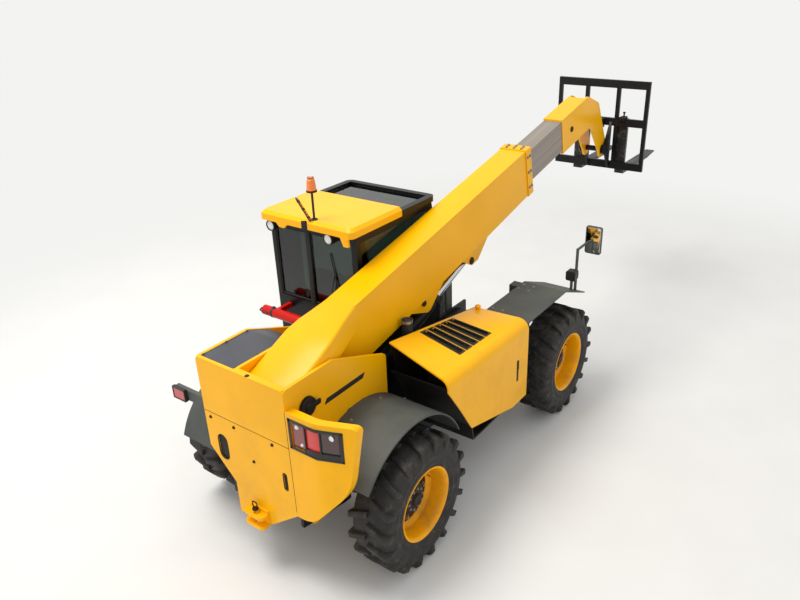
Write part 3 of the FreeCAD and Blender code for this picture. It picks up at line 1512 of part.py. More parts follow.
def make_cab_plinth():
    plinth = Piece("cab_plinth")
    plinth.pad("XY", d.plinth_bottom, d.frame_top, rect(
        cab_rear + d.tub_wall, cab_foot, frame_left, d.plinth_outer))
    plinth.cut("XY", d.frame_top - d.step_height, d.frame_top + 1, rect(
        door_start + d.step_inset, door_end - d.step_inset, d.plinth_outer - d.step_depth, d.plinth_outer + 1))
    plinth.place()


def make_seat():
    half = d.seat_width / 2
    y = d.seat_centre
    floor = d.frame_top + d.tub_floor
    start = cab_rear + (cab_foot - cab_rear) * d.seat_share
    front = start + d.seat_length
    seat = Piece("driver_seat")
    seat.pad("XY", floor, d.seat_pan_level + 1, rect(
        start + d.seat_base_inset, front - d.seat_base_inset, y - d.seat_base_half, y + d.seat_base_half))
    seat.pad("XZ", y - half, y + half, [
        (start, d.seat_pan_level), (front, d.seat_pan_level, d.middle_round),
        (front, d.seat_pan_level + d.seat_pan_height, d.middle_round),
        (start + d.seat_back_wall, d.seat_pan_level + d.seat_pan_height),
        (start + d.seat_back_wall - d.seat_back_lean, d.seat_back_top, d.middle_round),
        (start - d.seat_back_lean, d.seat_back_top, d.middle_round)])
    seat.place()


def make_steering_column():
    floor = d.frame_top + d.tub_floor
    x = cab_foot - d.column_setback
    column = Piece("steering_column")
    column.pad("XY", floor, d.column_top, circle(x, d.seat_centre, d.column_radius))
    radius = d.steering_wheel_radius
    grip = d.steering_wheel_grip
    column.pad("XY", d.column_top - 5, d.column_top + grip * 2,
               circle(x, d.seat_centre, radius), circle(x, d.seat_centre, radius - grip * 2))
    column.pad("XY", d.column_top - 5, d.column_top + grip, rect(
        x - grip, x + grip, d.seat_centre - radius + grip, d.seat_centre + radius - grip))
    column.place()


def make_work_lamps():
    lamps = Piece("work_lamps", several=True)
    level = d.cab_top - d.work_lamp_drop
    rear = cab_rear - d.work_lamp_depth
    for y in (d.work_lamp_left, d.work_lamp_right):
        lamps.pad("YZ", rear, cab_rear, circle(y, level, d.work_lamp_radius))
        lamps.pad("XY", level, d.cab_top, rect(rear + 15, rear + 45, y - 12, y + 12))
    lamp_x = d.wheelbase + d.head_lamp_reach - d.head_lamp_depth / 2
    half = d.head_lamp_size / 2
    for side in (1, -1):
        y = side * d.head_lamp_offset
        lamps.pad("YZ", lamp_x, lamp_x + d.head_lamp_depth, rect(
            y - half, y + half, head_lamp_level, head_lamp_level + d.head_lamp_size, d.small_round))
    stand = (cab_rear - d.beacon_setback, d.beacon_offset)
    top = d.cab_top + d.roof_thickness
    base = top + d.beacon_stalk
    lamps.pad("XY", top, base + 1, circle(*stand, d.beacon_stalk_radius))
    rim = base + d.beacon_foot
    lamps.pad("XY", base, rim, circle(*stand, d.beacon_radius))
    lamps.loft("XY", (rim, circle(*stand, d.beacon_radius * 0.9)),
               (base + d.beacon_height, circle(*stand, d.beacon_radius * 0.6)))
    lamps.place()


def make_fire_extinguisher():
    radius = d.bottle_radius
    level = axle_height + guard_radius + d.bottle_rise
    bottle = Piece("fire_extinguisher")
    bottle.pad("XZ", d.bottle_start, d.bottle_end, circle(d.bottle_reach, level, radius))
    half = d.bottle_arm_height / 2
    for y in (d.bottle_start + d.bottle_arm_inset, d.bottle_end - d.bottle_arm_inset - d.bottle_arm_width):
        bottle.pad("XZ", y, y + d.bottle_arm_width, rect(d.bottle_reach, cab_rear, level - half, level + half))
    bottle.place()


for end, x in axle_places:
    make_axle(f"{end}_axle", x)
    for hand, side in sides:
        make_tyre(f"tyre_{end}_{hand}", x, side)
        make_rim(f"rim_{end}_{hand}", x, side)
        make_knuckle(f"knuckle_{end}_{hand}", x, side)
make_chassis_frame()
make_rear_tower()
make_rear_wing()
make_tow_hitch()
make_rear_lamps()
make_outer_boom()
make_inner_boom()
make_boom_head()
make_carriage()
make_forks()
make_pivot_pin()
make_rams()
make_bonnet()
make_engine_bay()
make_engine_block()
make_exhaust()
make_rear_guards()
make_fenders()
make_cab_tub()
make_cab_frame()
make_cab_roof()
make_cab_glass()
make_cab_door()
make_door_glass()
make_cab_plinth()
make_seat()
make_steering_column()
make_work_lamps()
make_fire_extinguisher()

doc.recompute()
for item in doc.Objects:
    if "Invalid" in item.State or "Error" in item.State:
        raise ValueError(f"{item.Label} failed: {item.State}")
for piece in Piece.made:
    shape = piece.body.Shape
    if shape.isNull() or not shape.isValid():
        raise ValueError(f"{piece.name} has no valid shape")
    if len(shape.Solids) > 1 and not piece.several:
        raise ValueError(f"{piece.name} is in {len(shape.Solids)} loose solids")
for piece in Piece.made:
    piece.body.Shape.exportStep(f"parts/{piece.name}.step")
    print(f"{piece.name}: {len(piece.body.Shape.Solids)} solid, {piece.body.Shape.Volume / 1e9:.4f} m3")
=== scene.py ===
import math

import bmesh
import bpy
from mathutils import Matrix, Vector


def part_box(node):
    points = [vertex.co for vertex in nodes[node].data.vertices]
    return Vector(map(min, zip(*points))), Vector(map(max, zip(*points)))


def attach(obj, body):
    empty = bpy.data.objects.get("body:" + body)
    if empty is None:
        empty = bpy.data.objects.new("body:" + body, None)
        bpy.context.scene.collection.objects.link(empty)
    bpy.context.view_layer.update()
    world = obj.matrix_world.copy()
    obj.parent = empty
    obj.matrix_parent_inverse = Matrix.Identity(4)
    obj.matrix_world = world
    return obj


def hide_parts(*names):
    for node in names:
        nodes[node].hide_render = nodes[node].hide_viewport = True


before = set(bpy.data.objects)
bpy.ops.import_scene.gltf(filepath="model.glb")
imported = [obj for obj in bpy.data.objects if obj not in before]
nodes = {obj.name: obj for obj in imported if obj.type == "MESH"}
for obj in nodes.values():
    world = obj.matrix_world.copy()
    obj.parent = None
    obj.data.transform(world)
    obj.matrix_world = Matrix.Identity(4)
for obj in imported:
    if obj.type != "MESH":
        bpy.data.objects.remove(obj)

# %% [markdown]
# The model is a telescopic handler. Its solids come from the frame, each as one
# loose mesh named after its sub-part. This lesson dresses them: it gives every
# surface a finish, and adds the tread, seals, lenses and fittings that are too
# fine for the solids. Everything is in metres, X forwards, Y left, Z up.

MM = 0.001
scene = bpy.context.scene
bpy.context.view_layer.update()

# %% [markdown]
# The machine stands under the open sky in the photograph and is seen from a
# scaffold, high up behind its right rear corner. A camera is best placed by its
# real position and its three angles, found from the wheels and the boom, so it
# is built as a matrix: look direction, then tilt of the horizon.

# %% Camera
rear_axle_x = sum(corner.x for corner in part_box("rim_rear_left")) / 2
camera_spot = Vector((rear_axle_x - 3.798, -3.874, 4.736))
camera_yaw = 0.654
camera_pitch = -0.448
camera_roll = -0.042


def new_object(name, data):
    made = bpy.data.objects.new(name, data)
    scene.collection.objects.link(made)
    return made


def camera_matrix(spot, yaw, pitch, roll):
    level = math.cos(pitch)
    look = Vector((level * math.cos(yaw), level * math.sin(yaw), math.sin(pitch)))
    level_right = look.cross(Vector((0, 0, 1))).normalized()
    level_up = level_right.cross(look)
    right = math.cos(roll) * level_right + math.sin(roll) * level_up
    up = math.cos(roll) * level_up - math.sin(roll) * level_right
    turned = Matrix((right, up, -look)).transposed().to_4x4()
    return Matrix.Translation(spot) @ turned


camera_data = bpy.data.cameras.new("photo_camera")
camera_data.sensor_width = 36
camera_data.lens = 32.5
scene.camera = new_object("photo_camera", camera_data)
scene.camera.matrix_world = camera_matrix(camera_spot, camera_yaw, camera_pitch, camera_roll)
print("camera at", tuple(round(value, 2) for value in camera_spot))

# %% [markdown]
# Materials are node graphs. A few helpers keep them short: one turns a written
# sRGB colour to the linear values that the shader wants, one adds a node with
# its settings and links, and one starts a material from its plain numbers. The
# others are patterns and mixes that most of the finishes share.

# %% Material helpers


def linear(hex_colour):
    """sRGB hex to linear RGBA."""
    levels = [int(hex_colour[i:i + 2], 16) / 255 for i in (1, 3, 5)]
    return tuple(v / 12.92 if v <= 0.04045 else ((v + 0.055) / 1.055) ** 2.4 for v in levels) + (1.0,)


def add(material, kind, links=None, **settings):
    """Add a shader node; settings set its options or inputs, links feed its inputs."""
    node = material.node_tree.nodes.new(f"ShaderNode{kind}")
    for name, value in settings.items():
        if hasattr(node, name):
            setattr(node, name, value)
        else:
            node.inputs[name.replace("_", " ")].default_value = value
    for name, source in (links or {}).items():
        if isinstance(source, float):
            node.inputs[name].default_value = source
        else:
            material.node_tree.links.new(source, node.inputs[name])
    return node


def shader_of(material):
    return material.node_tree.nodes["Principled BSDF"]


def new_material(name, colour, **sockets):
    """A Principled material; the sockets that are alike all over are set directly."""
    material = bpy.data.materials.new(name)
    material.use_nodes = True
    inputs = shader_of(material).inputs
    inputs["Base Color"].default_value = linear(colour)
    for socket, value in sockets.items():
        inputs[socket.replace("_", " ")].default_value = value
    print("material:", name)
    return material


def feed(material, socket, source):
    material.node_tree.links.new(source, shader_of(material).inputs[socket])


def here(material):
    """Where the shaded point is on its object, in metres."""
    return add(material, "TexCoord").outputs["Object"]


def one_axis(material, axis):
    return add(material, "SeparateXYZ", {"Vector": here(material)}).outputs[axis]


def rescale(material, source, first, last, start=0.0, end=1.0):
    """Carry a value that runs from start to end over to the run from first to last."""
    return add(material, "MapRange", {"Value": source}, From_Min=start, From_Max=end,
               To_Min=first, To_Max=last).outputs[0]


def combine(material, first, second, operation="MULTIPLY"):
    return add(material, "Math", {0: first, 1: second}, operation=operation).outputs[0]


def ramp(material, source, stops, interpolation="LINEAR"):
    """A colour ramp from (position, hex colour) stops."""
    node = add(material, "ValToRGB", {"Fac": source})
    node.color_ramp.interpolation = interpolation
    elements = node.color_ramp.elements
    while len(elements) < len(stops):
        elements.new(0.5)
    for element, (place, colour) in zip(elements, stops):
        element.position = place
        element.color = linear(colour)
    return node.outputs[0]


def grain(material, size_mm, detail=3.0, roughness=0.55, stretch=(1, 1, 1), lean=0.0):
    """Noise whose spots are about size_mm across, on Object coordinates."""
    level = add(material, "Mapping", {"Vector": here(material)}, Rotation=(0, lean, 0))
    scaled = add(material, "Mapping", {"Vector": level.outputs[0]}, Scale=stretch)
    return add(material, "TexNoise", {"Vector": scaled.outputs[0]}, Scale=1 / (size_mm * MM),
               Detail=detail, Roughness=roughness).outputs["Fac"]


def vary(material, pattern, stops=(), rough=()):
    """Let one pattern change the colour along its stops and the roughness between two values."""
    if stops:
        feed(material, "Base Color", ramp(material, pattern, stops))
    if rough:
        feed(material, "Roughness", rescale(material, pattern, *rough))


def bump(material, source, depth_mm, strength=1.0):
    node = add(material, "Bump", {"Height": source}, Strength=strength, Distance=depth_mm * MM)
    feed(material, "Normal", node.outputs[0])


def dress(material, *names):
    """Give this material to each solid whose name begins with one of the names."""
    for name in nodes:
        if name.startswith(names):
            slots = nodes[name].data.materials
            slots.clear()
            slots.append(material)


print("white in linear light:", linear("#ffffff"))

# %% [markdown]
# Machine enamel is sprayed in one thick coat over welded plate. It is glossy,
# with a faint orange peel, and a working machine carries a film of dust that
# gathers low down. The dust is drawn by noise times height, so it thins out
# towards the boom, and it dulls the gloss where it lies.

# %% Enamels
dust_floor = 0.3
dusty_roughness = 0.75


def duller(colour, share):
    """The same colour a little darker, for slow changes over a panel."""
    levels = [int(int(colour[i:i + 2], 16) * share) for i in (1, 3, 5)]
    return "#" + "".join(f"{level:02x}" for level in levels)


def enamel(name, colour, dusty, dust_colour, gloss=0.28, dust_top=2.2):
    """Sprayed enamel; dusty is how much dust it carries at most, down at dust_floor."""
    material = new_material(name, colour, Coat_Weight=0.04, Coat_Roughness=0.1, Specular_IOR_Level=0.2)
    low = rescale(material, one_axis(material, "Z"), 0.06, 1.0, dust_top, dust_floor)
    clouds = grain(material, 260, detail=6.0, roughness=0.62)
    patches = rescale(material, clouds, 0.0, 1.0, 0.46, 0.74)
    share = combine(material, combine(material, low, patches), dusty)
    shade = ramp(material, grain(material, 900, detail=2.0), [(0.35, colour), (0.7, duller(colour, 0.96))])
    mixed = add(material, "MixRGB", {"Fac": share, "Color1": shade}, Color2=linear(dust_colour))
    feed(material, "Base Color", mixed.outputs[0])
    feed(material, "Roughness", rescale(material, share, gloss, dusty_roughness))
    bump(material, grain(material, 7, detail=1.0), 0.12, 0.4)
    return material


yellow = enamel("sprayed_yellow_enamel", "#ffb900", 0.3, "#a87f35")
dress(yellow, "rear_tower", "rear_wing", "tow_hitch", "outer_boom", "boom_head", "bonnet", "cab_roof")
wheel_yellow = enamel("wheel_yellow_enamel", "#ffb000", 0.5, "#6d5740", dust_top=1.4)
dress(wheel_yellow, "rim_")
black_enamel = enamel("satin_black_chassis_enamel", "#17181a", 0.5, "#4d4338", gloss=0.42)
dress(black_enamel, "chassis_frame", "front_axle", "rear_axle", "carriage", "engine_bay",
      "lift_barrel", "tilt_barrel", "knuckle_")
cab_black = enamel("cab_black_powder_coat", "#101113", 0.2, "#4a433a", gloss=0.35)
dress(cab_black, "cab_frame", "cab_tub", "cab_door")
bottle_red = enamel("red_bottle_enamel", "#c8160e", 0.1, "#6d5740", gloss=0.22)
dress(bottle_red, "fire_extinguisher")

# %% [markdown]
# The guards over the wheels are moulded from black plastic that sun and dust
# have turned a greenish grey. Moulded plastic has a fine leather grain, so its
# bump is a small noise, and its gloss is low and even.

# %% Moulded plastics


def moulded(name, colour, faded, roughness):
    material = new_material(name, colour)
    vary(material, grain(material, 350, detail=5.0), [(0.3, colour), (0.75, faded)],
         (roughness - 0.1, roughness + 0.15))
    bump(material, grain(material, 2.5, detail=2.0), 0.25, 0.5)
    return material


guard_plastic = moulded("faded_guard_plastic", "#3b403e", "#545852", 0.6)
dress(guard_plastic, "fenders", "rear_guards")
dark_plastic = moulded("black_moulded_plastic", "#151617", "#262726", 0.5)
dress(dark_plastic, "cab_plinth", "exhaust_stack", "steering_column", "work_lamps", "driver_seat")
rubber_trim = moulded("black_seal_rubber", "#0e0e0f", "#1d1d1c", 0.7)
lid_plastic = moulded("slate_grey_lid_plastic", "#3c3e46", "#4d4f57", 0.42)

# %% [markdown]
# The inner boom slides in grease, so its bare paint has worn to dull steel with
# long streaks along the boom. The noise is first turned level with the boom and
# then drawn out along it, so that the streaks follow the slide. The fork blades
# are black with scrapes down to the steel, drawn out along the blade.

# %% Metals
boom_angle = math.radians(12)
worn_steel = new_material("greased_slide_steel", "#958c84", Metallic=0.15)
streaks = grain(worn_steel, 60, detail=5.0, roughness=0.6, stretch=(0.02, 1.8, 1.8), lean=boom_angle)
vary(worn_steel, streaks, [(0.25, "#83796f"), (0.55, "#958b82"), (0.85, "#a69c93")], (0.35, 0.7))
bump(worn_steel, streaks, 0.1, 0.3)
dress(worn_steel, "inner_boom")

scraped = new_material("scraped_fork_steel", "#1a1a1b")
scrapes = grain(scraped, 110, detail=7.0, roughness=0.68, stretch=(0.25, 1.4, 1.4))
vary(scraped, scrapes, [(0.5, "#19191a"), (0.58, "#4b4743"), (0.7, "#807b75")], (0.55, 0.35))
feed(scraped, "Metallic", rescale(scraped, scrapes, 0.0, 0.8, 0.5, 0.7))
dress(scraped, "forks")

chrome = new_material("hard_chrome_rod", "#c9ccd0", Metallic=1.0)
vary(chrome, grain(chrome, 60, detail=4.0), rough=(0.08, 0.22))
dress(chrome, "lift_rod", "tilt_rod")

casting = new_material("painted_iron_casting", "#34383a", Roughness=0.7)
lumps = grain(casting, 14, detail=5.0)
vary(casting, lumps, [(0.3, "#24282a"), (0.8, "#454a4c")])
bump(casting, lumps, 1.2)
dress(casting, "engine_block")


def plated(name, colour, spotted, roughness):
    """Zinc or oxide plated steel, as on bolts, pins and washers, spotted by weather."""
    material = new_material(name, colour, Metallic=0.85)
    vary(material, grain(material, 9, detail=4.0), [(0.35, colour), (0.7, spotted)],
         (roughness, roughness + 0.25))
    return material


zinc = plated("zinc_plated_steel", "#a7a8a4", "#7d776c", 0.3)
dark_steel = plated("oxide_black_pin_steel", "#3a3632", "#2a211b", 0.45)
dress(dark_steel, "boom_pivot_pin")
alloy = plated("cast_aluminium_tread_plate", "#9da0a2", "#84837f", 0.4)

# %% [markdown]
# Tyre rubber is black only when new. On site it takes the colour of the ground,
# so one noise lays patches of brown dust over the dark grey, and the same noise
# makes them rough and a little raised. The seat's cloth is woven: two sets of
# fine waves cross each other, for the warp and the weft.

# %% Rubber and seat cloth
rubber = new_material("dusty_tyre_rubber", "#1d1c1b")
mud = grain(rubber, 90, detail=8.0, roughness=0.65)
vary(rubber, mud, [(0.40, "#171717"), (0.56, "#2d2a27"), (0.80, "#5d5448")], (0.5, 0.9))
bump(rubber, mud, 0.8, 0.6)
dress(rubber, "tyre_")

seat_cloth = new_material("woven_seat_cloth", "#232529", Roughness=0.9, Sheen_Weight=0.35)
thread_mm = 2.4
waves_per_scale = 6.3


def threads(direction):
    return add(seat_cloth, "TexWave", {"Vector": here(seat_cloth)}, bands_direction=direction,
               Scale=1 / (thread_mm * MM) / waves_per_scale, Distortion=0.4, Detail=1.0).outputs["Fac"]


weave = combine(seat_cloth, threads("Y"), threads("DIAGONAL"))
vary(seat_cloth, weave, [(0.1, "#191b1e"), (0.8, "#34373c")])
bump(seat_cloth, weave, 0.5, 0.8)

# %% [markdown]
# Glass here is toughened and slightly tinted. It is a thin solid pane, so real
# transmission works, with a little dust to give the reflections an edge. Lamp
# lenses are pressed acrylic: their bump is a close pattern of small domes. The
# rear cluster's solid is coloured in thirds, by the distance across it.

# %% Glass and lenses
glass = new_material("tinted_safety_glass", "#5d6d66", Roughness=0.03, IOR=1.5, Transmission_Weight=1.0)
vary(glass, grain(glass, 300, detail=5.0), rough=(0.01, 0.09))
dress(glass, "cab_glass", "door_glass")
dome_mm = 9


def pressed_lens(name, colour):
    material = new_material(name, colour, Roughness=0.12, Coat_Weight=0.7)
    domes = add(material, "TexVoronoi", {"Vector": here(material)}, Scale=1 / (dome_mm * MM),
                Randomness=0.15)
    bump(material, domes.outputs["Distance"], 1.5, 0.7)
    return material


red_lens = pressed_lens("red_lamp_acrylic", "#b81410")
cluster_share = rescale(red_lens, one_axis(red_lens, "Y"), 0.0, 1.0, -0.915, -0.515)
lamp_thirds = ramp(red_lens, cluster_share,
                   [(0.0, "#3a1412"), (0.335, "#d0150c"), (0.665, "#7d1a10"), (0.99, "#b81410")], "CONSTANT")
feed(red_lens, "Base Color", lamp_thirds)
dress(red_lens, "rear_lamps")
clear_lens = pressed_lens("clear_lamp_acrylic", "#e8ebec")
amber_lens = pressed_lens("amber_beacon_acrylic", "#e8790c")
mirror_silver = new_material("silvered_mirror_glass", "#d6dadd", Metallic=1.0)
vary(mirror_silver, grain(mirror_silver, 45, detail=4.0), rough=(0.02, 0.12))

# %% [markdown]
# Fittings are made from a few kinds of shape: bevelled blocks, turned parts, flat plates, bent tubes and
# bolts. Each helper makes one with bmesh operators in its own small mesh and joins it to the piece. Sizes
# are given from the rear axle, the middle plane and the ground, so a piece moves there at the end. Each
# piece takes the one material that it is given.

# %% Shape helpers
UP = (0, 0, 1)
AHEAD = (1, 0, 0)
BEHIND = (-1, 0, 0)
LEFT = (0, 1, 0)
RIGHT = (0, -1, 0)
merge_distance = 0.00001


def facing(spot, direction, up="Y"):
    """A place at spot whose Z axis looks along direction."""
    return Matrix.Translation(spot) @ Vector(direction).to_track_quat("Z", up).to_matrix().to_4x4()


def new_mesh(name, bm):
    mesh = bpy.data.meshes.new(name)
    bm.to_mesh(mesh)
    bm.free()
    return mesh


def join(bm, part, place=Matrix()):
    """Put the finished part into the piece at its place."""
    bmesh.ops.remove_doubles(part, verts=part.verts, dist=merge_distance)
    bmesh.ops.recalc_face_normals(part, faces=part.faces)
    part.transform(place)
    mesh = new_mesh("part", part)
    bm.from_mesh(mesh)
    bpy.data.meshes.remove(mesh)


def soften(part, geometry, width, segments=2, affect="EDGES"):
    bmesh.ops.bevel(part, geom=list(geometry), offset=width, offset_type="OFFSET", segments=segments,
                    profile=0.5, affect=affect, material=-1)


def cube(part, middle, size):
    bmesh.ops.create_cube(part, size=1, matrix=Matrix.Translation(middle) @ Matrix.Diagonal((*size, 1)))


def cut_at(part, spot, way):
    bmesh.ops.bisect_plane(part, geom=part.verts[:] + part.edges[:] + part.faces[:],
                           plane_co=spot, plane_no=way)


def block(bm, low, high, round_off=0.003, place=Matrix()):
    """A block between two corners, with bevelled edges."""
    low, high = Vector(low), Vector(high)
    part = bmesh.new()
    cube(part, (low + high) / 2, high - low)
    soften(part, part.edges, round_off)
    join(bm, part, place)


def turn(bm, outline, place=Matrix(), steps=40):
    """Spin an outline of (radius, height) pairs a full turn about Z."""
    part = bmesh.new()
    corners = [part.verts.new((radius, 0, height)) for radius, height in outline]
    lines = [part.edges.new(pair) for pair in zip(corners, corners[1:])]
    bmesh.ops.spin(part, geom=corners + lines, cent=(0, 0, 0), axis=UP, angle=math.tau,
                   steps=steps, use_merge=True)
    join(bm, part, place)


def fitting(bm, outline, spot, way=UP, steps=24):
    """A turned part that stands on a face, its outline closed to the axis at both ends."""
    top = [] if outline[0][0] == 0 else [(0, outline[0][1])]
    turn(bm, [*top, *outline, (0, outline[-1][1])], facing(spot, way), steps)


def plate(bm, outline, thickness, place=Matrix(), corner=0.0, round_off=0.0015):
    """A flat plate: its outline in XY, its corners rounded, raised by its thickness."""
    part = bmesh.new()
    part.faces.new([part.verts.new((x, y, 0)) for x, y in outline])
    if corner:
        soften(part, part.verts, corner, 5, "VERTICES")
    raised = bmesh.ops.extrude_face_region(part, geom=part.faces[:])["geom"]
    bmesh.ops.translate(part, vec=(0, 0, thickness),
                        verts=[item for item in raised if isinstance(item, bmesh.types.BMVert)])
    rims = [edge for edge in part.edges if abs(edge.verts[0].co.z - edge.verts[1].co.z) < merge_distance]
    soften(part, rims, round_off)
    join(bm, part, place)


def tube(bm, points, radius, closed=False, bend=0.0, place=Matrix()):
    """A round bar or seal along points, its corners rounded where a bend is given."""
    points = [place @ Vector(point) for point in points]
    route = []
    for index, point in enumerate(points):
        inner = closed or 0 < index < len(points) - 1
        if bend and inner:
            back = (points[index - 1] - point).normalized() * bend
            ahead = (points[(index + 1) % len(points)] - point).normalized() * bend
            route += [point + back, point, point + ahead]
        else:
            route.append(point)
    curve = bpy.data.curves.new("run", "CURVE")
    curve.dimensions = "3D"
    curve.bevel_depth = radius
    curve.bevel_resolution = 2
    curve.resolution_u = 4
    curve.use_fill_caps = not closed
    spline = curve.splines.new("NURBS")
    spline.points.add(len(route) - 1)
    for control, point in zip(spline.points, route):
        control.co = (*point, 1)
    spline.use_cyclic_u = closed
    spline.order_u = 3
    spline.use_endpoint_u = not closed
    holder = bpy.data.objects.new("run", curve)
    mesh = bpy.data.meshes.new_from_object(holder)
    bm.from_mesh(mesh)
    bpy.data.objects.remove(holder)
    bpy.data.curves.remove(curve)
    bpy.data.meshes.remove(mesh)


def seal(bm, points, radius=0.009):
    tube(bm, points, radius, closed=True, bend=0.03)


def bolt(bm, spot, direction, across=0.024):
    """A hexagon head on a washer, standing on a face; across is its width over the flats."""
    washer, corner = across * 0.12, across * 0.577
    place = facing(spot, direction)
    turn(bm, [(0, washer), (across * 0.82, washer), (across * 0.86, 0), (0, 0)], place, 20)
    part = bmesh.new()
    bmesh.ops.create_cone(part, cap_ends=True, segments=6, radius1=corner, radius2=corner,
                          depth=across * 0.5, matrix=Matrix.Translation((0, 0, across * 0.37)))
    top = [edge for edge in part.edges if min(vert.co.z for vert in edge.verts) > across * 0.5]
    soften(part, top, across * 0.06, 1)
    join(bm, part, place)


def finish_piece(name, bm, material, body="chassis", crease=35):
    """Make the object, move it from the rear axle to its place and let it ride on a body."""
    bmesh.ops.remove_doubles(bm, verts=bm.verts, dist=merge_distance)
    bmesh.ops.translate(bm, vec=(rear_axle_x, 0, 0), verts=bm.verts)
    mesh = new_mesh(name, bm)
    mesh.materials.append(material)
    mesh.shade_smooth()
    mesh.set_sharp_from_angle(angle=math.radians(crease))
    piece = new_object(name, mesh)
    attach(piece, body)
    print(f"{name}: {len(mesh.polygons)} faces on {body}")
    return piece


# %% [markdown]
# The tyres are lugged, as on farm and site machines: eighteen bars a side in a
# chevron, half a pitch apart, each running over the shoulder and a little way
# down the sidewall. The casing is one turned outline with two rubbed-off rings
# on the wall. A lug is a bevelled block that is cut into short lengths, and each
# length is laid on the casing. One tyre is made, then copied to four wheels.

# %% Tyres
tyre_radius = 0.600
casing_half = [(0.311, 0.150), (0.322, 0.168), (0.345, 0.180), (0.372, 0.188), (0.380, 0.1935),
               (0.390, 0.1935), (0.398, 0.190), (0.432, 0.1955), (0.440, 0.1985), (0.450, 0.1985),
               (0.458, 0.1950), (0.495, 0.190), (0.530, 0.176), (0.552, 0.152), (0.562, 0.115),
               (0.567, 0.060)]
lug_count = 18
lug_stations = [(0.004, 0.556, 0.5995, 0.000, 0.064), (0.060, 0.556, 0.6000, 0.020, 0.062),
                (0.120, 0.552, 0.5995, 0.044, 0.062), (0.165, 0.538, 0.5975, 0.064, 0.064),
                (0.184, 0.515, 0.5800, 0.072, 0.062), (0.189, 0.480, 0.5200, 0.074, 0.054),
                (0.190, 0.455, 0.4640, 0.074, 0.044)]
lug_flare = [0.0, 0.0, 0.0, 0.008, 0.011, 0.0095, 0.006]
lug_taper = 0.16
lug_rounding = 0.12


def between(values, place):
    """A value read between two neighbours in a list."""
    low = min(int(place), len(values) - 2)
    return values[low] + (values[low + 1] - values[low]) * (place - low)


def at_station(stations, place):
    return [between(column, place) for column in zip(*stations)]


def cut_in_lengths(part, sections):
    for place in range(1, sections):
        cut_at(part, (place, 0, 0), AHEAD)


def lay_on_casing(corner, side):
    """A lug's own length, breadth and height become a point on the tyre."""
    length, breadth, height = corner
    side_way, foot, crown, lag, width = at_station(lug_stations, length)
    radius = foot + (crown - foot) * height
    arc = (lag + breadth * width * (1 - lug_taper * height)) / tyre_radius
    offset = side_way + between(lug_flare, length) * height
    return Vector((radius * math.cos(arc), radius * math.sin(arc), side * offset))


def add_lug(bm, side, turned):
    part = bmesh.new()
    sections = len(lug_stations) - 1
    cube(part, (sections / 2, 0, 0.5), (sections, 1, 1))
    crown = [edge for edge in part.edges if min(vert.co.z for vert in edge.verts) > 0.9]
    soften(part, crown, lug_rounding)
    cut_in_lengths(part, sections)
    for vert in part.verts:
        vert.co = lay_on_casing(vert.co, side)
    join(bm, part, Matrix.Rotation(turned, 4, "Z"))


def make_tyre():
    bm = bmesh.new()
    outline = casing_half + [(radius, -offset) for radius, offset in reversed(casing_half)]
    bead = [(0.309, -0.10), (0.309, 0.10)]
    turn(bm, outline + bead + outline[:1], steps=72)
    pitch = math.tau / lug_count
    for number in range(lug_count):
        add_lug(bm, 1, number * pitch)
        add_lug(bm, -1, (number + 0.5) * pitch)
    return new_mesh("tyre", bm)


tyre_mesh = make_tyre()
corners = {f"{end}_{side}": (along, across) for end, along in (("front", 2.750), ("rear", 0.0))
           for side, across in (("left", 0.975), ("right", -0.975))}
axle_level = 0.600
roll_step = 0.17


def wheel_place(corner, rolled=0.0):
    """Outward side up the Z axis, turned so that the chevrons point forwards at the top."""
    along, across = corners[corner]
    outward = 1 if across > 0 else -1
    upright = Matrix.Rotation(-outward * math.pi / 2, 4, "X")
    return Matrix.Translation((along, across, axle_level)) @ upright @ Matrix.Rotation(rolled, 4, "Z")


for number, corner in enumerate(corners):
    bm = bmesh.new()
    bm.from_mesh(tyre_mesh)
    bm.transform(wheel_place(corner, roll_step * number))
    tyre = finish_piece(f"lugged_tyre_{corner}", bm, rubber, f"wheel_{corner}", crease=28)
    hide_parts(f"tyre_{corner}")
bpy.data.meshes.remove(tyre_mesh)

# %% [markdown]
# The wheels are deep: the disc sits far inside the barrel and the end of the axle's hub fills its middle.
# The hub's black flange runs out over most of the yellow disc, as painted shade for the dark well of the
# dish, so a bright crescent of barrel shows beside a dark centre. Barrel, disc and hub are turned from
# outlines that are closed, so that each has a true wall. Nuts and studs are set in rings.

# %% Wheels
barrel_outline = [(0.330, 0.180), (0.330, 0.171), (0.314, 0.165), (0.307, 0.152), (0.302, 0.120),
                  (0.296, 0.050), (0.296, -0.120), (0.304, -0.152), (0.314, -0.165), (0.330, -0.171),
                  (0.330, -0.180), (0.320, -0.180), (0.305, -0.170), (0.295, -0.150), (0.286, -0.115),
                  (0.286, 0.048), (0.292, 0.118), (0.297, 0.150), (0.306, 0.170), (0.320, 0.180),
                  (0.330, 0.180)]
disc_outline = [(0.2865, 0.030), (0.280, 0.016), (0.262, 0.002), (0.240, -0.006), (0.210, -0.008),
                (0.210, -0.022), (0.240, -0.021), (0.268, -0.014), (0.2865, 0.000), (0.2865, 0.030)]
# The hub's outline runs out to 0.236 m, over the disc: the black flange beyond the hub itself is painted
# shade in the dish.
hub_with_painted_shade_outline = [(0.0, 0.092), (0.046, 0.092), (0.052, 0.086), (0.056, 0.070), (0.128, 0.060), (0.138, 0.052),
               (0.146, 0.020), (0.156, 0.010), (0.224, 0.006), (0.236, 0.000), (0.236, -0.0055),
               (0.212, -0.022), (0.0, -0.022)]
nut_count = 10
nut_rings = [(0.188, 0.0075, 0.030), (0.096, 0.0655, 0.016)]
valve_run = [(0.262, 0.05, 0.001), (0.262, 0.05, 0.022), (0.254, 0.05, 0.045)]
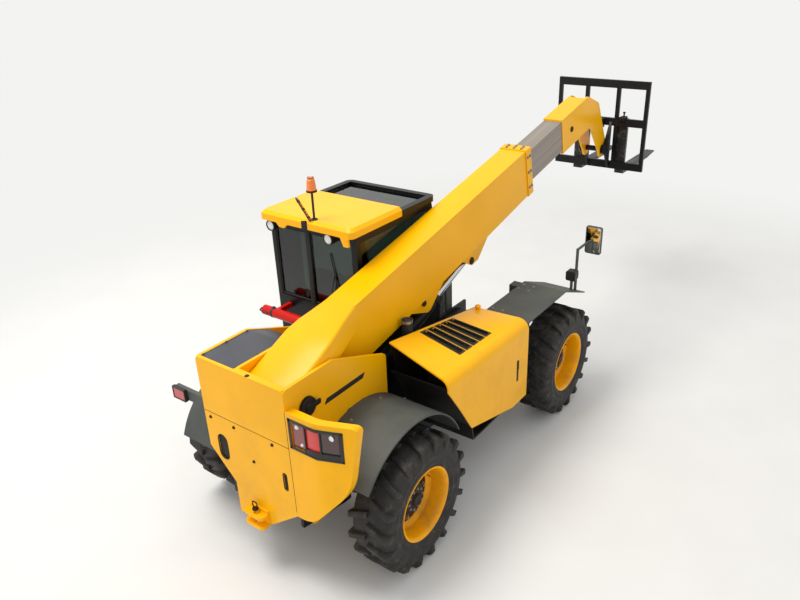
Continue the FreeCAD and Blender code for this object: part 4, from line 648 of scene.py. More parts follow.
for corner in corners:
    place = wheel_place(corner)
    wheel_body = f"wheel_{corner}"
    bm = bmesh.new()
    turn(bm, barrel_outline, place, 72)
    turn(bm, disc_outline, place, 72)
    rim = finish_piece(f"dished_rim_{corner}", bm, wheel_yellow, wheel_body)
    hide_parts(f"rim_{corner}")
    bm = bmesh.new()
    # Black hub, its wide flange painted shade over the yellow disc.
    turn(bm, hub_with_painted_shade_outline, place, 48)
    finish_piece(f"hub_with_painted_shade_{corner}", bm, black_enamel, wheel_body)
    bm = bmesh.new()
    for number in range(nut_count):
        around = Matrix.Rotation(math.tau * number / nut_count, 4, "Z")
        for radius, level, across in nut_rings:
            spot = place @ around @ Vector((radius, 0, level))
            bolt(bm, spot, place.to_3x3() @ Vector(UP), across)
    tube(bm, valve_run, 0.005, place=place)
    finish_piece(f"wheel_nuts_{corner}", bm, zinc, wheel_body)

# %% [markdown]
# The rear of the tower is one thick plate. Its lower part is bolted on along a seam, the oval hole and the
# slot have a rolled edge, and a plain dark strip and the pivot pin's cap are on its right side. Dark blocks
# set a little way into the oval hole and the slot are painted shade for the dark hollow of the tower behind
# them. The lid on the left of the boom is a dark moulded panel, modelled as a block that is bent down at the
# shoulder.

# %% Tower trim
tower_face = -0.800
bm = bmesh.new()
for across, level in ((-0.02, 1.07), (-0.27, 1.34), (0.17, 1.33), (0.45, 1.33)):
    bolt(bm, (tower_face, across, level), BEHIND, 0.018)
finish_piece("tower_bolts", bm, dark_steel)


def oval(across, low, high, width, depth):
    """Points round an upright hole with half-round ends, on a face at depth."""
    half = width / 2
    points = []
    for centre, first in ((high - half, 0), (low + half, 180)):
        for step in range(0, 181, 30):
            turned = math.radians(first + step)
            points.append((depth, across + half * math.cos(turned), centre + half * math.sin(turned)))
    return points


bm = bmesh.new()
tube(bm, oval(0.345, 0.94, 1.19, 0.114, tower_face + 0.001), 0.005, closed=True)
tube(bm, oval(-0.370, 0.94, 1.11, 0.044, tower_face + 0.001), 0.004, closed=True)
# Dark blocks a little way into the oval hole and the slot: painted shade for the hollow tower behind them.
for across, low, high, half in ((0.345, 0.941, 1.189, 0.0545), (-0.370, 0.941, 1.109, 0.0195)):
    block(bm, (tower_face + 0.010, across - half, low), (tower_face + 0.015, across + half, high), 0.001)
block(bm, (tower_face - 0.001, -0.4575, 0.760), (tower_face + 0.002, -0.4530, 1.715), 0.0005)
block(bm, (tower_face - 0.001, -0.455, 1.378), (tower_face + 0.002, 0.515, 1.383), 0.0005)
finish_piece("tower_seals_and_painted_hole_shade", bm, rubber_trim)

lid_top = 1.8790
lid_bend = -0.25
lid_slope = 0.403
bm = bmesh.new()
part = bmesh.new()
cube(part, (-0.403, 0.2935, lid_top + 0.003), (0.756, 0.420, 0.006))
soften(part, part.edges, 0.0015, 1)
cut_at(part, (lid_bend, 0, 0), AHEAD)
for vert in part.verts:
    vert.co.z -= max(0.0, vert.co.x - lid_bend) * lid_slope
join(bm, part)
for along in (-0.74, -0.50, -0.27):
    for across in (0.105, 0.482):
        bolt(bm, (along, across, lid_top + 0.006), UP, 0.016)
finish_piece("tower_lid", bm, lid_plastic)

tower_side = -0.460
bm = bmesh.new()
plate(bm, [(-0.38, 1.542), (0.10, 1.542), (0.13, 1.588), (-0.35, 1.588)], 0.002,
      Matrix.Translation((0, tower_side + 0.0005, 0)) @ Matrix.Rotation(math.pi / 2, 4, "X"), 0.006, 0.0006)
finish_piece("tower_side_strip", bm, rubber_trim)

pivot = Vector((-0.570, 0, 1.640))
bm = bmesh.new()
fitting(bm, [(0.030, 0.022), (0.034, 0.018), (0.036, 0.012), (0.078, 0.012), (0.083, 0.008), (0.083, 0.0)],
        (pivot.x, tower_side - 0.0155, pivot.z), RIGHT, 40)
plate(bm, [(-0.020, -0.024), (0.125, -0.024), (0.125, 0.024), (-0.020, 0.024)], 0.008,
      facing((pivot.x, tower_side - 0.0275, pivot.z), RIGHT), 0.014)
finish_piece("pivot_keeper", bm, dark_steel)
bm = bmesh.new()
fitting(bm, [(0.017, 0.004), (0.020, 0.0)], (-0.782, -0.07, 1.890))
finish_piece("tower_plug", bm, rubber_trim)

# %% [markdown]
# The rear wing carries the lamp cluster in a recess. A black bezel frames it and
# parts the lenses. The wing's plate bends forwards beyond the tyre, so the bezel
# is made flat, cut at the bend and then moved forwards with the plate.

# %% Lamp bezels and lenses
wing_turn = -0.750
wing_lean = 0.120 / 0.310


def follow_wing(bm):
    """Cut a flat piece at the wing's bend and lean its outer part forwards."""
    cut_at(bm, (0, wing_turn, 0), LEFT)
    for vert in bm.verts:
        vert.co.x += max(0.0, wing_turn - vert.co.y) * wing_lean


cluster_right, cluster_left = -0.952, -0.480
cluster_low, cluster_high = 1.404, 1.676
bezel = 0.026
frame_bars = [((cluster_right, cluster_low), (cluster_left, cluster_low + bezel)),
              ((cluster_right, cluster_high - bezel), (cluster_left, cluster_high)),
              ((cluster_right, cluster_low), (cluster_right + bezel, cluster_high)),
              ((cluster_left - bezel, cluster_low), (cluster_left, cluster_high))]
dividers = [((-0.789, 1.42), (-0.779, 1.66)), ((-0.651, 1.42), (-0.641, 1.66)),
            ((-0.930, 1.42), (-0.640, 1.465))]
bm = bmesh.new()
for bars, depth in ((frame_bars, 0.001), (dividers, 0.020)):
    for low, high in bars:
        block(bm, (tower_face - 0.005, *low), (tower_face + depth, *high), 0.002)
follow_wing(bm)
for across in (0.770, 0.920):
    block(bm, (-0.804, across - 0.006, 1.352), (-0.770, across + 0.006, 1.468), 0.003)
for level in (1.358, 1.462):
    block(bm, (-0.804, 0.764, level - 0.006), (-0.770, 0.926, level + 0.006), 0.003)
finish_piece("rear_lamp_bezels", bm, dark_plastic)
# Three small pale domes on the cluster: partly clear lenses, partly painted highlights where the lenses
# catch glints.
bm = bmesh.new()
for across, level, radius in ((-0.560, 1.615, 0.020), (-0.860, 1.610, 0.026), (-0.600, 1.470, 0.014)):
    lean = max(0.0, wing_turn - across) * wing_lean
    fitting(bm, [(0, 0.010), (radius * 0.6, 0.008), (radius, 0.0)],
            (tower_face + 0.008 + lean, across, level), BEHIND, 28)
finish_piece("rear_clear_lenses_and_painted_glints", bm, clear_lens)

# %% [markdown]
# The boom is built in its own measures: reach along it from the pivot, and level
# above its axis. One matrix tilts them to the boom's resting angle. On a real
# boom, nylon pads behind bolted keepers guide the sliding section, and each ram
# pin ends in a chamfered cap with a grease nipple.

# %% Boom fittings
boom_middle = -0.150
boom_place = Matrix.Translation(pivot) @ Matrix.Rotation(-boom_angle, 4, "Y")


def on_boom(reach, across, level):
    return boom_place @ Vector((reach, across, level))


def boom_way(x, y, z):
    return boom_place.to_3x3() @ Vector((x, y, z))


def pin_cap(bm, reach, across, level, radius, side):
    """The end of a ram pin: a chamfered disc with a grease nipple in its middle."""
    spot = on_boom(reach, across, level)
    fitting(bm, [(0.004, 0.019), (0.005, 0.012), (radius * 0.84, 0.012), (radius, 0.006), (radius, 0.0)],
            spot, boom_way(0, side, 0), 32)


bm = bmesh.new()
for side in (-1, 1):
    pin_cap(bm, 1.805, boom_middle + side * 0.1352, -0.312, 0.031, side)
    pin_cap(bm, 2.760, boom_middle + side * 0.0785, -0.425, 0.040, side)
finish_piece("boom_pin_caps", bm, dark_steel, "boom")

collar_end = 4.030
pads = [(-0.225, 0.217, -0.075, 0.262), (-0.225, -0.205, -0.075, -0.153),
        (-0.296, -0.100, -0.263, 0.150), (-0.037, -0.100, -0.004, 0.150)]
bm = bmesh.new()
for right, low, left, high in pads:
    block(bm, (collar_end - 0.002, right, low), (collar_end + 0.014, left, high), 0.003, boom_place)
finish_piece("collar_pads", bm, rubber_trim, "boom")

bm = bmesh.new()
for reach in (collar_end - 0.080, collar_end - 0.030):
    for level in (-0.150, 0.030, 0.210):
        for across, side in ((-0.312, -1), (0.012, 1)):
            bolt(bm, on_boom(reach, across, level), boom_way(0, side, 0), 0.022)
    for across in (-0.240, -0.150, -0.060):
        bolt(bm, on_boom(reach, across, 0.302), boom_way(*UP), 0.022)
finish_piece("boom_bolts", bm, zinc, "boom")

slid_out = 0.850
bm = bmesh.new()
for side in (-1, 1):
    pin_cap(bm, 5.200 + slid_out, boom_middle + side * 0.1205, -0.650, 0.052, side)
    pin_cap(bm, 4.300 + slid_out, boom_middle + side * 0.1205, 0.020, 0.034, side)
finish_piece("head_pin_caps", bm, dark_steel, "boom_inner")

# %% [markdown]
# The forks hang on the carriage's upper bar by hooks, and a spring pin keeps each
# from sliding sideways. Bolts hold the backrest to the carriage.

# %% Carriage fittings
carriage_low, carriage_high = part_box("carriage")
fork_low, fork_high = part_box("forks")
fork_back = fork_low.x - rear_axle_x
fork_top = fork_high.z
hook_shapes = [(-0.050, 0.045, 0.001), (-0.062, -0.042, -0.030)]
bm = bmesh.new()
for side in (-1, 1):
    across = boom_middle + side * 0.300
    for rear, front, low in hook_shapes:
        block(bm, (fork_back + rear, across - 0.040, fork_top + low),
              (fork_back + front, across + 0.040, fork_top + 0.026), 0.006)
    fitting(bm, [(0.014, 0.060), (0.018, 0.054), (0.018, 0.044), (0.010, 0.038), (0.010, 0.0)],
            (fork_back + 0.010, across, fork_top + 0.024))
finish_piece("fork_hooks", bm, dark_steel, "carriage")
bm = bmesh.new()
for across in (carriage_low.y + 0.085, boom_middle - 0.190, boom_middle + 0.190, carriage_high.y - 0.085):
    for level in (2.012, 2.592):
        bolt(bm, (fork_back, across, level), AHEAD)
finish_piece("carriage_bolts", bm, zinc, "carriage")

# %% [markdown]
# Where the boom enters the tower a sheet hood widens it to the full hub, so no
# gap shows beside it. The hood is a block cut at the stations where its top line
# changes. Each cut is set to the height and breadth that it has there, then the
# underside and the ends are taken away and the skin gets its thickness.

# %% Boom tail hood
hood_stations = [(-0.170, 0.088, 0), (-0.145, 0.124, 0), (-0.105, 0.159, 0), (-0.050, 0.185, 0),
                 (0.020, 0.197, 0), (0.120, 0.217, 0), (0.300, 0.256, 0), (0.420, 0.282, 0.06),
                 (0.560, 0.2955, 0.30), (0.720, 0.2955, 0.66), (0.900, 0.2955, 1)]
hood_right, hood_left = (-0.4275, -0.3045), (0.0645, 0.0045)
hood_drop = 0.21
bm = bmesh.new()
part = bmesh.new()
sections = len(hood_stations) - 1
cube(part, (sections / 2, 0.5, 0.5), (sections, 1, 1))
cut_in_lengths(part, sections)
for vert in part.verts:
    reach, top, narrowed = at_station(hood_stations, vert.co.x)
    side = hood_right if vert.co.y < 0.5 else hood_left
    vert.co = Vector((reach, side[0] + (side[1] - side[0]) * narrowed, top - hood_drop * (1 - vert.co.z)))
bmesh.ops.recalc_face_normals(part, faces=part.faces)
underside = [face for face in part.faces if face.normal.z < -0.5 and face.calc_center_median().z < 0.1]
ends = [face for face in part.faces if abs(face.normal.x) > 0.9]
bmesh.ops.delete(part, geom=underside + ends, context="FACES")
ridges = [edge for edge in part.edges if len(edge.link_faces) == 2 and edge.calc_face_angle(0) > 1.2]
soften(part, ridges, 0.022, 3)
bmesh.ops.solidify(part, geom=part.faces[:], thickness=0.004)
join(bm, part, boom_place)
finish_piece("boom_tail_hood", bm, yellow, "boom", crease=40)

# %% [markdown]
# The guards over the rear tyres are thin plastic arches. Their outer edge is
# rolled to a lip, which catches the light as a fine line. A tube along the arc
# makes it, with screws where the arch is held to its bracket.

# %% Guard lips
guard_lip_radius = 0.746
guard_bolt_radius = 0.752


def arc_points(radius, across, first, last, steps=12):
    """Points round the rear axle between two angles, counted up from straight ahead."""
    angles = [math.radians(first + (last - first) * step / steps) for step in range(steps + 1)]
    return [(radius * math.cos(angle), across, axle_level + radius * math.sin(angle)) for angle in angles]


bm = bmesh.new()
for across, rear_turn in ((-1.036, 142), (1.036, 160)):
    tube(bm, arc_points(guard_lip_radius, across, 29.5, rear_turn), 0.008)
finish_piece("rear_guard_lips", bm, guard_plastic)
bm = bmesh.new()
for across in (-0.56, 0.60):
    for spot in arc_points(guard_bolt_radius, across, 45, 135, 3):
        bolt(bm, spot, (spot[0], 0, spot[2] - axle_level), 0.018)
finish_piece("rear_guard_bolts", bm, zinc)

# %% [markdown]
# The front fenders are folded plates on posts. Their long edges are rolled too,
# and screws with wide heads hold the plates to the posts under them.

# %% Front fender lips
fender_top, fender_nose, fender_foot = 1.394, 1.184, 0.762
fender_sides = [(-1, 1.976), (1, 2.166)]
bm = bmesh.new()
for side, start in fender_sides:
    for across in (0.5435, 1.0365):
        run = ((start, fender_foot), (start, fender_top), (2.830, fender_top), (3.346, fender_nose))
        tube(bm, [(along, side * across, level) for along, level in run], 0.0075, bend=0.02)
finish_piece("front_fender_lips", bm, guard_plastic)
bm = bmesh.new()
for side, start in fender_sides:
    for along in (start + 0.08, 2.620, 2.740):
        for across in (0.585, 0.700):
            bolt(bm, (along, side * across, fender_top + 0.0055), UP, 0.020)
finish_piece("front_fender_screws", bm, zinc)

# %% [markdown]
# The bonnet's lid slopes two ways, so its height is read between its four
# corners. Under the slots lies a dark perforated screen: a grid whose squares are
# set in a little, each corner at the lid's height less the gap. The latch is a
# paddle on a long plate on the side, and a knob stands at the lid's front.

# %% Bonnet fittings
bonnet_rear, bonnet_front = 0.500, 1.950
bonnet_left, bonnet_right = -0.440, -1.055
lid_rear_levels = (1.690, 1.480)
lid_front_levels = (1.425, 1.445)


def lid_height(along, across):
    """Height of the bonnet's lid above the ground."""
    share = (along - bonnet_rear) / (bonnet_front - bonnet_rear)
    outward = (bonnet_left - across) / (bonnet_left - bonnet_right)
    return between([between(lid_rear_levels, outward), between(lid_front_levels, outward)], share)


bm = bmesh.new()
part = bmesh.new()
bmesh.ops.create_grid(part, x_segments=26, y_segments=12, size=0.5)
part.transform(Matrix.Translation((1.195, -0.685, 0)) @ Matrix.Diagonal((0.60, 0.45, 1, 1)))
bmesh.ops.inset_individual(part, faces=part.faces[:], thickness=0.0035, depth=-0.004)
for vert in part.verts:
    vert.co.z += lid_height(vert.co.x, vert.co.y) - 0.020
join(bm, part)
finish_piece("bonnet_screen", bm, rubber_trim, "bonnet")

slot_start, slot_pitch, slot_width = 0.930, 0.115, 0.075
slot_right, slot_left, liner = -0.890, -0.480, 0.012
slot_count = 5
bm = bmesh.new()
part = bmesh.new()
for number in range(slot_count):
    rear = slot_start + slot_pitch * number
    front = rear + slot_width
    for low, high in (((rear - liner, slot_right - liner), (rear + 0.002, slot_left + liner)),
                      ((front - 0.002, slot_right - liner), (front + liner, slot_left + liner)),
                      ((rear, slot_left - 0.002), (front, slot_left + liner)),
                      ((rear, slot_right - liner), (front, slot_right + 0.002))):
        block(part, (*low, -0.016), (*high, 0.0025), 0.001)
for vert in part.verts:
    vert.co.z += lid_height(vert.co.x, vert.co.y)
join(bm, part)
block(bm, (1.722, -1.060, 0.850), (1.758, -1.046, 1.090), 0.006)
block(bm, (1.728, -1.066, 0.985), (1.752, -1.052, 1.075), 0.004)
finish_piece("bonnet_trim", bm, dark_plastic, "bonnet")

bm = bmesh.new()
fitting(bm, [(0.022, 0.046), (0.030, 0.040), (0.032, 0.030), (0.028, 0.022), (0.020, 0.016), (0.020, 0.004),
             (0.030, 0.0)], (1.900, -0.500, lid_height(1.900, -0.500)), UP, 28)
finish_piece("bonnet_knob", bm, yellow, "bonnet")

# %% [markdown]
# The headlamps on the front fenders have a bright lens in a bezel, and slots in
# the back to let the heat out. The mirrors get a silvered face. A mirror is metal
# to the renderer: one that is almost smooth, with dust to break the reflection.

# %% Headlamps and mirrors
lenses, bezels = bmesh.new(), bmesh.new()
for side in (-1, 1):
    across = side * 0.980
    place = facing((3.145, across, 1.476), AHEAD)
    turn(lenses, [(0, 0.010), (0.030, 0.008), (0.044, 0.0), (0, 0)], place, 32)
    turn(bezels, [(0.044, 0.0), (0.044, 0.012), (0.052, 0.012), (0.054, 0.0), (0.044, 0.0)], place, 32)
    for level in (1.440, 1.462, 1.484, 1.506):
        block(bezels, (3.0505, across - 0.040, level - 0.004),
              (3.056, across + 0.040, level + 0.004), 0.0015)
finish_piece("headlamp_lenses", lenses, clear_lens)
finish_piece("headlamp_bezels", bezels, dark_plastic)

mirror_turn = Matrix(((0, 0, -1, 0), (1, 0, 0, 0), (0, -1, 0, 0), (0, 0, 0, 1)))
half_width = 0.0825
bm = bmesh.new()
for middle, half_height in (((2.140, 1.0675, 2.145), 0.155), ((3.450, -1.0525, 1.780), 0.150)):
    outline = [(x * half_width, y * half_height) for x, y in ((-1, -1), (1, -1), (1, 1), (-1, 1))]
    plate(bm, outline, 0.003, Matrix.Translation(middle) @ mirror_turn, 0.020, 0.001)
finish_piece("mirror_glasses", bm, mirror_silver)

# %% [markdown]
# The cab's panes are bonded in with black rubber, which shows as a dark rounded
# line inside each opening. It follows the opening's corners as a closed tube.
# The door has a pull handle and a latch, a grab rail stands beside it, and each
# wiper is an arm on a hub with a blade that rests on the glass.

# %% Cab seals, handles and wipers
cab_rear_x = 0.720
bm = bmesh.new()
seal(bm, [(cab_rear_x + 0.012, across, level) for across, level in
          ((0.112, 1.712), (1.058, 1.712), (1.058, 2.422), (0.112, 2.422))])
seal(bm, [(along, 0.062, level) for along, level in
          ((0.782, 1.330), (1.860, 1.330), (2.040, 1.450), (1.855, 2.422), (0.782, 2.422))])
seal(bm, [(2.050, 0.112, 1.335), (2.088, 0.112, 1.450), (1.899, 0.112, 2.420), (1.899, 1.058, 2.420),
          (2.088, 1.058, 1.450), (2.050, 1.058, 1.335)])
finish_piece("cab_seals", bm, rubber_trim)

bm = bmesh.new()
for pane in (((1.066, 1.483), (1.918, 1.483), (1.750, 2.364), (1.066, 2.364)),
             ((1.066, 1.046), (1.862, 1.046), (1.864, 1.250), (1.900, 1.417), (1.066, 1.417))):
    seal(bm, [(along, 1.110, level) for along, level in pane], 0.008)
finish_piece("door_seals", bm, rubber_trim, "door")

bm = bmesh.new()
tube(bm, [(1.730, 1.119, 1.450), (1.730, 1.158, 1.450), (1.880, 1.158, 1.450), (1.880, 1.119, 1.450)],
     0.009, bend=0.018)
block(bm, (1.625, 1.118, 1.432), (1.700, 1.130, 1.468), 0.004)
fitting(bm, [(0.010, 0.014), (0.012, 0.009), (0.012, 0.0)], (1.648, 1.130, 1.450), LEFT, 20)
finish_piece("door_handle", bm, dark_plastic, "door")

bm = bmesh.new()
tube(bm, [(0.860, 1.118, 1.520), (0.860, 1.160, 1.520), (0.860, 1.160, 2.060), (0.860, 1.118, 2.060)],
     0.014, bend=0.035)
for level in (1.520, 2.060):
    fitting(bm, [(0.026, 0.008), (0.028, 0.004), (0.028, 0.0)], (0.860, 1.1198, level), LEFT)
finish_piece("grab_rail", bm, cab_black)

bm = bmesh.new()
cab_rear = Matrix.Translation((cab_rear_x, 0, 0))
fitting(bm, [(0.012, 0.030), (0.016, 0.024), (0.020, 0.0)], (cab_rear_x + 0.004, 0.420, 1.690), BEHIND, 20)
tube(bm, [(-0.016, 0.420, 1.690), (-0.014, 0.380, 1.90), (0.004, 0.340, 2.06)], 0.005, place=cab_rear)
tube(bm, [(0.008, 0.30, 1.86), (0.004, 0.340, 2.06), (0.008, 0.38, 2.27)], 0.006, place=cab_rear)
# A dark upright bar down the middle of the rear pane.
block(bm, (-0.004, 0.615, 1.695), (0.022, 0.675, 2.435), 0.006, cab_rear)
finish_piece("rear_wiper_and_pane_bar", bm, rubber_trim)
bm = bmesh.new()
fitting(bm, [(0.012, 0.026), (0.016, 0.020), (0.020, 0.0)], (2.092, 0.560, 1.450), AHEAD, 20)
tube(bm, [(2.112, 0.560, 1.450), (2.088, 0.480, 1.66), (2.030, 0.400, 1.86)], 0.005)
tube(bm, [(2.064, 0.350, 1.62), (2.026, 0.400, 1.86), (1.974, 0.445, 2.12)], 0.006)
finish_piece("front_wiper", bm, rubber_trim)

# %% [markdown]
# On the roof a dark tube lies in the channel across the cap, under three clips, and a small dark plate sits
# on the roof's rear face below where it starts. The beacon's amber dome is turned with steps and fits over
# the solid, on a round foot. The work lamps get a clear lens with a rim.

# %% Roof fittings
roof_top = 2.590
channel_turned = math.radians(54)
channel_way = Vector((math.cos(channel_turned), math.sin(channel_turned), 0))
channel_start = Vector((0.664, 0.532, roof_top - 0.012))
# A dark tube along the roof channel, held by three clips.
bm = bmesh.new()
tube(bm, [channel_start + channel_way * share for share in (0, 0.25, 0.50, 0.74)], 0.008)
for share in (0.10, 0.36, 0.62):
    spot = channel_start + channel_way * share
    turned = Matrix.Translation(spot) @ Matrix.Rotation(channel_turned, 4, "Z")
    block(bm, (-0.012, -0.015, -0.0095), (0.012, 0.015, 0.0105), 0.003, turned)
plate(bm, [(-0.055, -0.036), (0.055, -0.036), (0.040, 0.036), (-0.040, 0.036)], 0.004,
      facing((0.6305, 0.580, 2.534), BEHIND, "X"), 0.006)
finish_piece("roof_channel_dark_tube", bm, rubber_trim)

beacon = Vector((0.685, 0.500, 2.850))
bm = bmesh.new()
dome_outline = [(0.0, 0.1365), (0.020, 0.1360), (0.0285, 0.1315), (0.0318, 0.124), (0.0335, 0.112),
                (0.0375, 0.108), (0.0382, 0.088), (0.0400, 0.084), (0.0408, 0.064), (0.0428, 0.060),
                (0.0438, 0.026), (0.0465, 0.022), (0.0470, 0.0205), (0.0450, 0.0203)]
fitting(bm, dome_outline, beacon, UP, 48)
finish_piece("beacon_dome", bm, amber_lens)
bm = bmesh.new()
fitting(bm, [(0.030, -0.004), (0.046, 0.0), (0.0495, 0.004), (0.0495, 0.018), (0.046, 0.0202)],
        beacon, UP, 40)
fitting(bm, [(0.030, 0.008), (0.034, 0.003), (0.034, 0.0)], (beacon.x, beacon.y, roof_top), UP, 32)
finish_piece("beacon_foot", bm, rubber_trim)

lenses, rims = bmesh.new(), bmesh.new()
for across in (1.060, 0.330):
    place = facing((0.660, across, 2.440), BEHIND)
    turn(lenses, [(0, 0.007), (0.024, 0.006), (0.040, 0.003), (0.046, 0.0), (0, 0)], place, 32)
    turn(rims, [(0.045, 0.0), (0.046, 0.009), (0.052, 0.009), (0.055, 0.004), (0.055, 0.0), (0.045, 0.0)],
         place, 32)
finish_piece("work_lamp_lenses", lenses, clear_lens)
finish_piece("work_lamp_rims", rims, dark_plastic)

# %% [markdown]
# A seat pad is foam under cloth: it is crowned, its sides pull in, and sewn
# channels run across it. It starts as a divided block, each corner is moved by
# how far it is from the middle, and Subdivision Surface rounds the rest. These
# pads stand for the plain seat solid, on a folded base between two armrests.

# %% Driver's seat
seat_place = Matrix.Translation((0.876, 0.585, 0))
pad_crown = 0.22
channel_width = 0.07
channel_depth = 0.16
bolster_line = 0.62
bolster_depth = 0.13


def cushion(name, size, place, channels):
    """A crowned pad: size along X, Y and Z, sewn across at the channels."""
    bm = bmesh.new()
    bmesh.ops.create_cube(bm, size=1)
    bmesh.ops.subdivide_edges(bm, edges=bm.edges[:], cuts=11, use_grid_fill=True)
    for vert in bm.verts:
        across, along, up = (value * 2 for value in vert.co)
        pull = 1 - 0.09 * (along * along + up * up) / 2 - 0.05 * abs(along * up)
        side_pull = 1 - 0.07 * (across * across + up * up) / 2 - 0.05 * abs(across * up)
        dome = (1 - across * across) * (1 - along * along)
        height = up * (0.5 + pad_crown * dome) / (0.5 + pad_crown)
        if up > 0.9:
            for channel in channels:
                dip = math.exp(-((across - channel) / channel_width) ** 2)
                height -= channel_depth * dip * (1 - along ** 6)
            dip = math.exp(-((abs(along) - bolster_line) / channel_width) ** 2)
            height -= bolster_depth * dip * (1 - across ** 6)
        moved = (across * pull * size[0], along * side_pull * size[1], height * size[2])
        vert.co = Vector(moved) / 2
    bm.transform(seat_place @ place)
    piece = finish_piece(name, bm, seat_cloth, crease=60)
    rounding = piece.modifiers.new("rounding", "SUBSURF")
    rounding.levels = rounding.render_levels = 1
    return piece


pan = cushion("seat_cushion", (0.440, 0.470, 0.125), Matrix.Translation((0.220, 0, 1.446)),
              (-0.45, 0.0, 0.45))
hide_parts("driver_seat")
back_turn = Matrix.Rotation(math.radians(-95.5), 4, "Y") @ Matrix.Rotation(math.pi, 4, "Z")
cushion("seat_backrest", (0.470, 0.440, 0.105), Matrix.Translation((0.050, 0, 1.755)) @ back_turn,
        (-0.5, -0.1, 0.3))
bm = bmesh.new()
for low, high in ((1.340, 1.384), (1.283, 1.333), (1.226, 1.276)):
    block(bm, (0.060, -0.150, low), (0.380, 0.150, high), 0.012, seat_place)
block(bm, (0.040, -0.160, 1.160), (0.400, 0.160, 1.220), 0.008, seat_place)
for arm in (-0.262, 0.262):
    block(bm, (0.060, arm - 0.028, 1.600), (0.360, arm + 0.028, 1.645), 0.014, seat_place)
    block(bm, (0.090, arm - 0.014, 1.430), (0.130, arm + 0.014, 1.605), 0.006, seat_place)
finish_piece("seat_base", bm, dark_plastic)
bm = bmesh.new()
tube(bm, [(1.200, 0.323, 1.640), (1.205, 0.323, 1.70), (1.225, 0.323, 1.745)], 0.009)
fitting(bm, [(0, 0.085), (0.014, 0.082), (0.022, 0.068), (0.023, 0.050), (0.018, 0.020), (0.020, 0.0)],
        (1.215, 0.323, 1.715), (0.25, 0, 1))
finish_piece("lever_knob", bm, rubber_trim)

# %% [markdown]
# Beside the seat stands a console with a lever, and ahead of the wheel a pod with
# round dials under one clear face. They are seen only through the glass, so they
# stay simple: softened blocks, a gaiter and turned dials.

# %% Console and instruments
bm = bmesh.new()
block(bm, (0.980, 0.110, 1.200), (1.720, 0.290, 1.480), 0.030)
turn(bm, [(0.012, 0.075), (0.020, 0.060), (0.018, 0.052), (0.030, 0.040), (0.027, 0.032), (0.042, 0.018),
     (0.042, 0.0)], Matrix.Translation((1.560, 0.200, 1.478)), 28)
tube(bm, [(1.560, 0.200, 1.53), (1.565, 0.200, 1.60), (1.580, 0.200, 1.66)], 0.009)
fitting(bm, [(0, 0.075), (0.016, 0.072), (0.024, 0.056), (0.024, 0.034), (0.016, 0.008), (0.018, 0.0)],
        (1.578, 0.200, 1.645), (0.2, 0, 1))
block(bm, (1.850, 0.440, 1.400), (1.930, 0.730, 1.600), 0.026)
finish_piece("cab_console", bm, dark_plastic)
bm = bmesh.new()
for across, level, radius in ((0.520, 1.520, 0.042), (0.650, 1.520, 0.042), (0.585, 1.440, 0.022)):
    fitting(bm, [(radius * 0.9, 0.003), (radius, 0.006), (radius * 1.06, 0.0)],
            (1.850, across, level), BEHIND, 32)
finish_piece("dial_faces", bm, clear_lens)

# %% [markdown]
# The rest is small hardware: straps and a valve on the red bottle, a pin with
# its handle in the hitch, a clamp round the exhaust, the tank's filler cap and a
# tread plate of cast aluminium on the step, with rows of raised bars.

# %% Small hardware
bottle = Matrix.Translation((0.500, 0, 1.600))
strap_outline = [(0.0505, -0.014), (0.0525, -0.014), (0.0525, 0.014), (0.0505, 0.014), (0.0505, -0.014)]
bm = bmesh.new()
for across in (0.600, 0.980):
    turn(bm, strap_outline, bottle @ facing((0, across, 0), LEFT), 40)
    block(bm, (-0.012, across - 0.012, 0.050), (0.012, across + 0.012, 0.064), 0.003, bottle)
fitting(bm, [(0.012, 0.050), (0.014, 0.030), (0.020, 0.026), (0.022, 0.006), (0.030, 0.0)],
        bottle @ Vector((0, 1.110, 0)), LEFT)
tube(bm, [(0, 1.140, 0), (-0.030, 1.150, 0.010), (-0.055, 1.120, 0.004), (-0.057, 1.02, 0)], 0.007,
     place=bottle)
finish_piece("bottle_straps", bm, dark_plastic)

hitch_low, hitch_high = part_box("tow_hitch")
hitch = Vector((hitch_low.x - rear_axle_x + 0.045, (hitch_low.y + hitch_high.y) / 2, hitch_high.z))
bm = bmesh.new()
fitting(bm, [(0.022, 0.014), (0.028, 0.009), (0.028, 0.001)], hitch, UP, 28)
handle = [(-0.018, 0.010), (-0.030, 0.050), (-0.022, 0.078), (0.022, 0.078), (0.030, 0.050), (0.018, 0.010)]
tube(bm, [(0, across, level) for across, level in handle], 0.0055, place=Matrix.Translation(hitch))
finish_piece("hitch_pin_handle", bm, dark_steel)

bm = bmesh.new()
turn(bm, [(0.051, -0.030), (0.0535, -0.030), (0.0535, -0.004), (0.051, -0.004), (0.051, -0.030)],
     Matrix.Translation((0.860, -0.372, 1.740)), 36)
block(bm, (0.800, -0.382, 1.712), (0.812, -0.362, 1.730), 0.002)
finish_piece("exhaust_clamp", bm, zinc)

bm = bmesh.new()
fitting(bm, [(0.020, 0.030), (0.040, 0.026), (0.046, 0.018), (0.046, 0.004), (0.052, 0.0)],
        (1.800, 1.080, 0.840), LEFT, 32)
block(bm, (1.762, 1.108, 0.834), (1.838, 1.116, 0.846), 0.003)
finish_piece("filler_cap", bm, dark_plastic)

tread_rows, tread_bars = 5, 15
bm = bmesh.new()
block(bm, (0.930, 0.915, 0.7205), (1.850, 1.075, 0.7245), 0.0015)
for row in range(tread_rows):
    across = 0.933 + row * 0.031
    for bar in range(tread_bars):
        along = 0.950 + bar * 0.060
        block(bm, (along, across, 0.7240), (along + 0.036, across + 0.009, 0.7270), 0.0012)
finish_piece("step_tread", bm, alloy)

# %% [markdown]
# Plain soft light, as under an overcast sky: a white world that lights nearly as
# brightly as the colours are written, and one large soft lamp from above for a
# little more shape. The floor near the machine is a true surface that takes its
# shadow. Further out, and behind it all, the camera sees one pale colour.

# %% Floor, light and colour handling
backdrop_colour = "#f3f3f1"


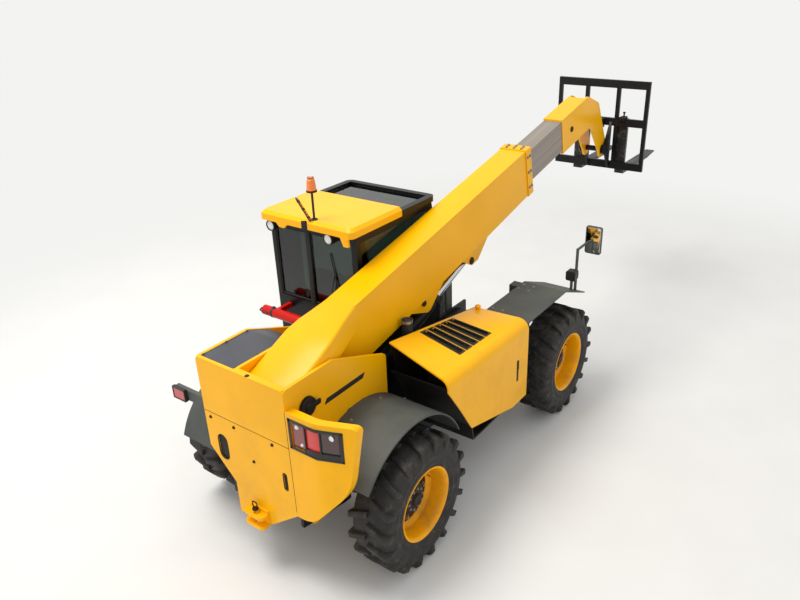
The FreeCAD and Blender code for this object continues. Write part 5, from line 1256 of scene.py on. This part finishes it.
def seen_directly(owner):
    """1 where the camera looks, also by a reflection or through glass, else 0."""
    path = add(owner, "LightPath").outputs
    direct = combine(owner, path["Is Camera Ray"], path["Is Glossy Ray"], "MAXIMUM")
    return combine(owner, direct, path["Is Transmission Ray"], "MAXIMUM")


def add_floor():
    bm = bmesh.new()
    bmesh.ops.create_grid(bm, x_segments=1, y_segments=1, size=80)
    floor = new_object("floor", new_mesh("floor", bm))
    material = new_material("pale_studio_floor", "#dfdfde", Roughness=0.9)
    vary(material, grain(material, 900, detail=4.0), [(0.3, "#dddddc"), (0.7, "#e1e1e0")])
    far = add(material, "VectorMath", {0: here(material)}, operation="LENGTH")
    fade = add(material, "MapRange", {"Value": far.outputs["Value"]}, interpolation_type="SMOOTHSTEP",
               From_Min=5.0, From_Max=9.5)
    share = combine(material, fade.outputs[0], seen_directly(material))
    flat = add(material, "Emission", Color=linear(backdrop_colour), Strength=1.0)
    mixed = add(material, "MixShader", {0: share, 1: shader_of(material).outputs[0], 2: flat.outputs[0]})
    surface = material.node_tree.nodes["Material Output"].inputs["Surface"]
    material.node_tree.links.new(mixed.outputs[0], surface)
    floor.data.materials.append(material)


def add_lamp(spot, aim):
    data = bpy.data.lights.new("soft_key", "AREA")
    data.shape = "DISK"
    data.size = 7
    data.energy = 1250
    data.color = linear("#fffbf4")[:3]
    turned = (Vector(aim) - Vector(spot)).to_track_quat("-Z", "Y").to_matrix().to_4x4()
    new_object("soft_key", data).matrix_world = Matrix.Translation(spot) @ turned


add_floor()
add_lamp((-5, 4, 13), (0, 0, 1))
world = bpy.data.worlds.new("pale_sky")
world.use_nodes = True
sky = world.node_tree.nodes["Background"].inputs
seen = seen_directly(world)
sky_colour = add(world, "MixRGB", {"Fac": seen}, Color1=linear("#f1f1f0"), Color2=linear(backdrop_colour))
world.node_tree.links.new(sky_colour.outputs[0], sky["Color"])
world.node_tree.links.new(rescale(world, seen, 0.95, 1.0), sky["Strength"])
scene.world = world
scene.view_settings.view_transform = "Standard"
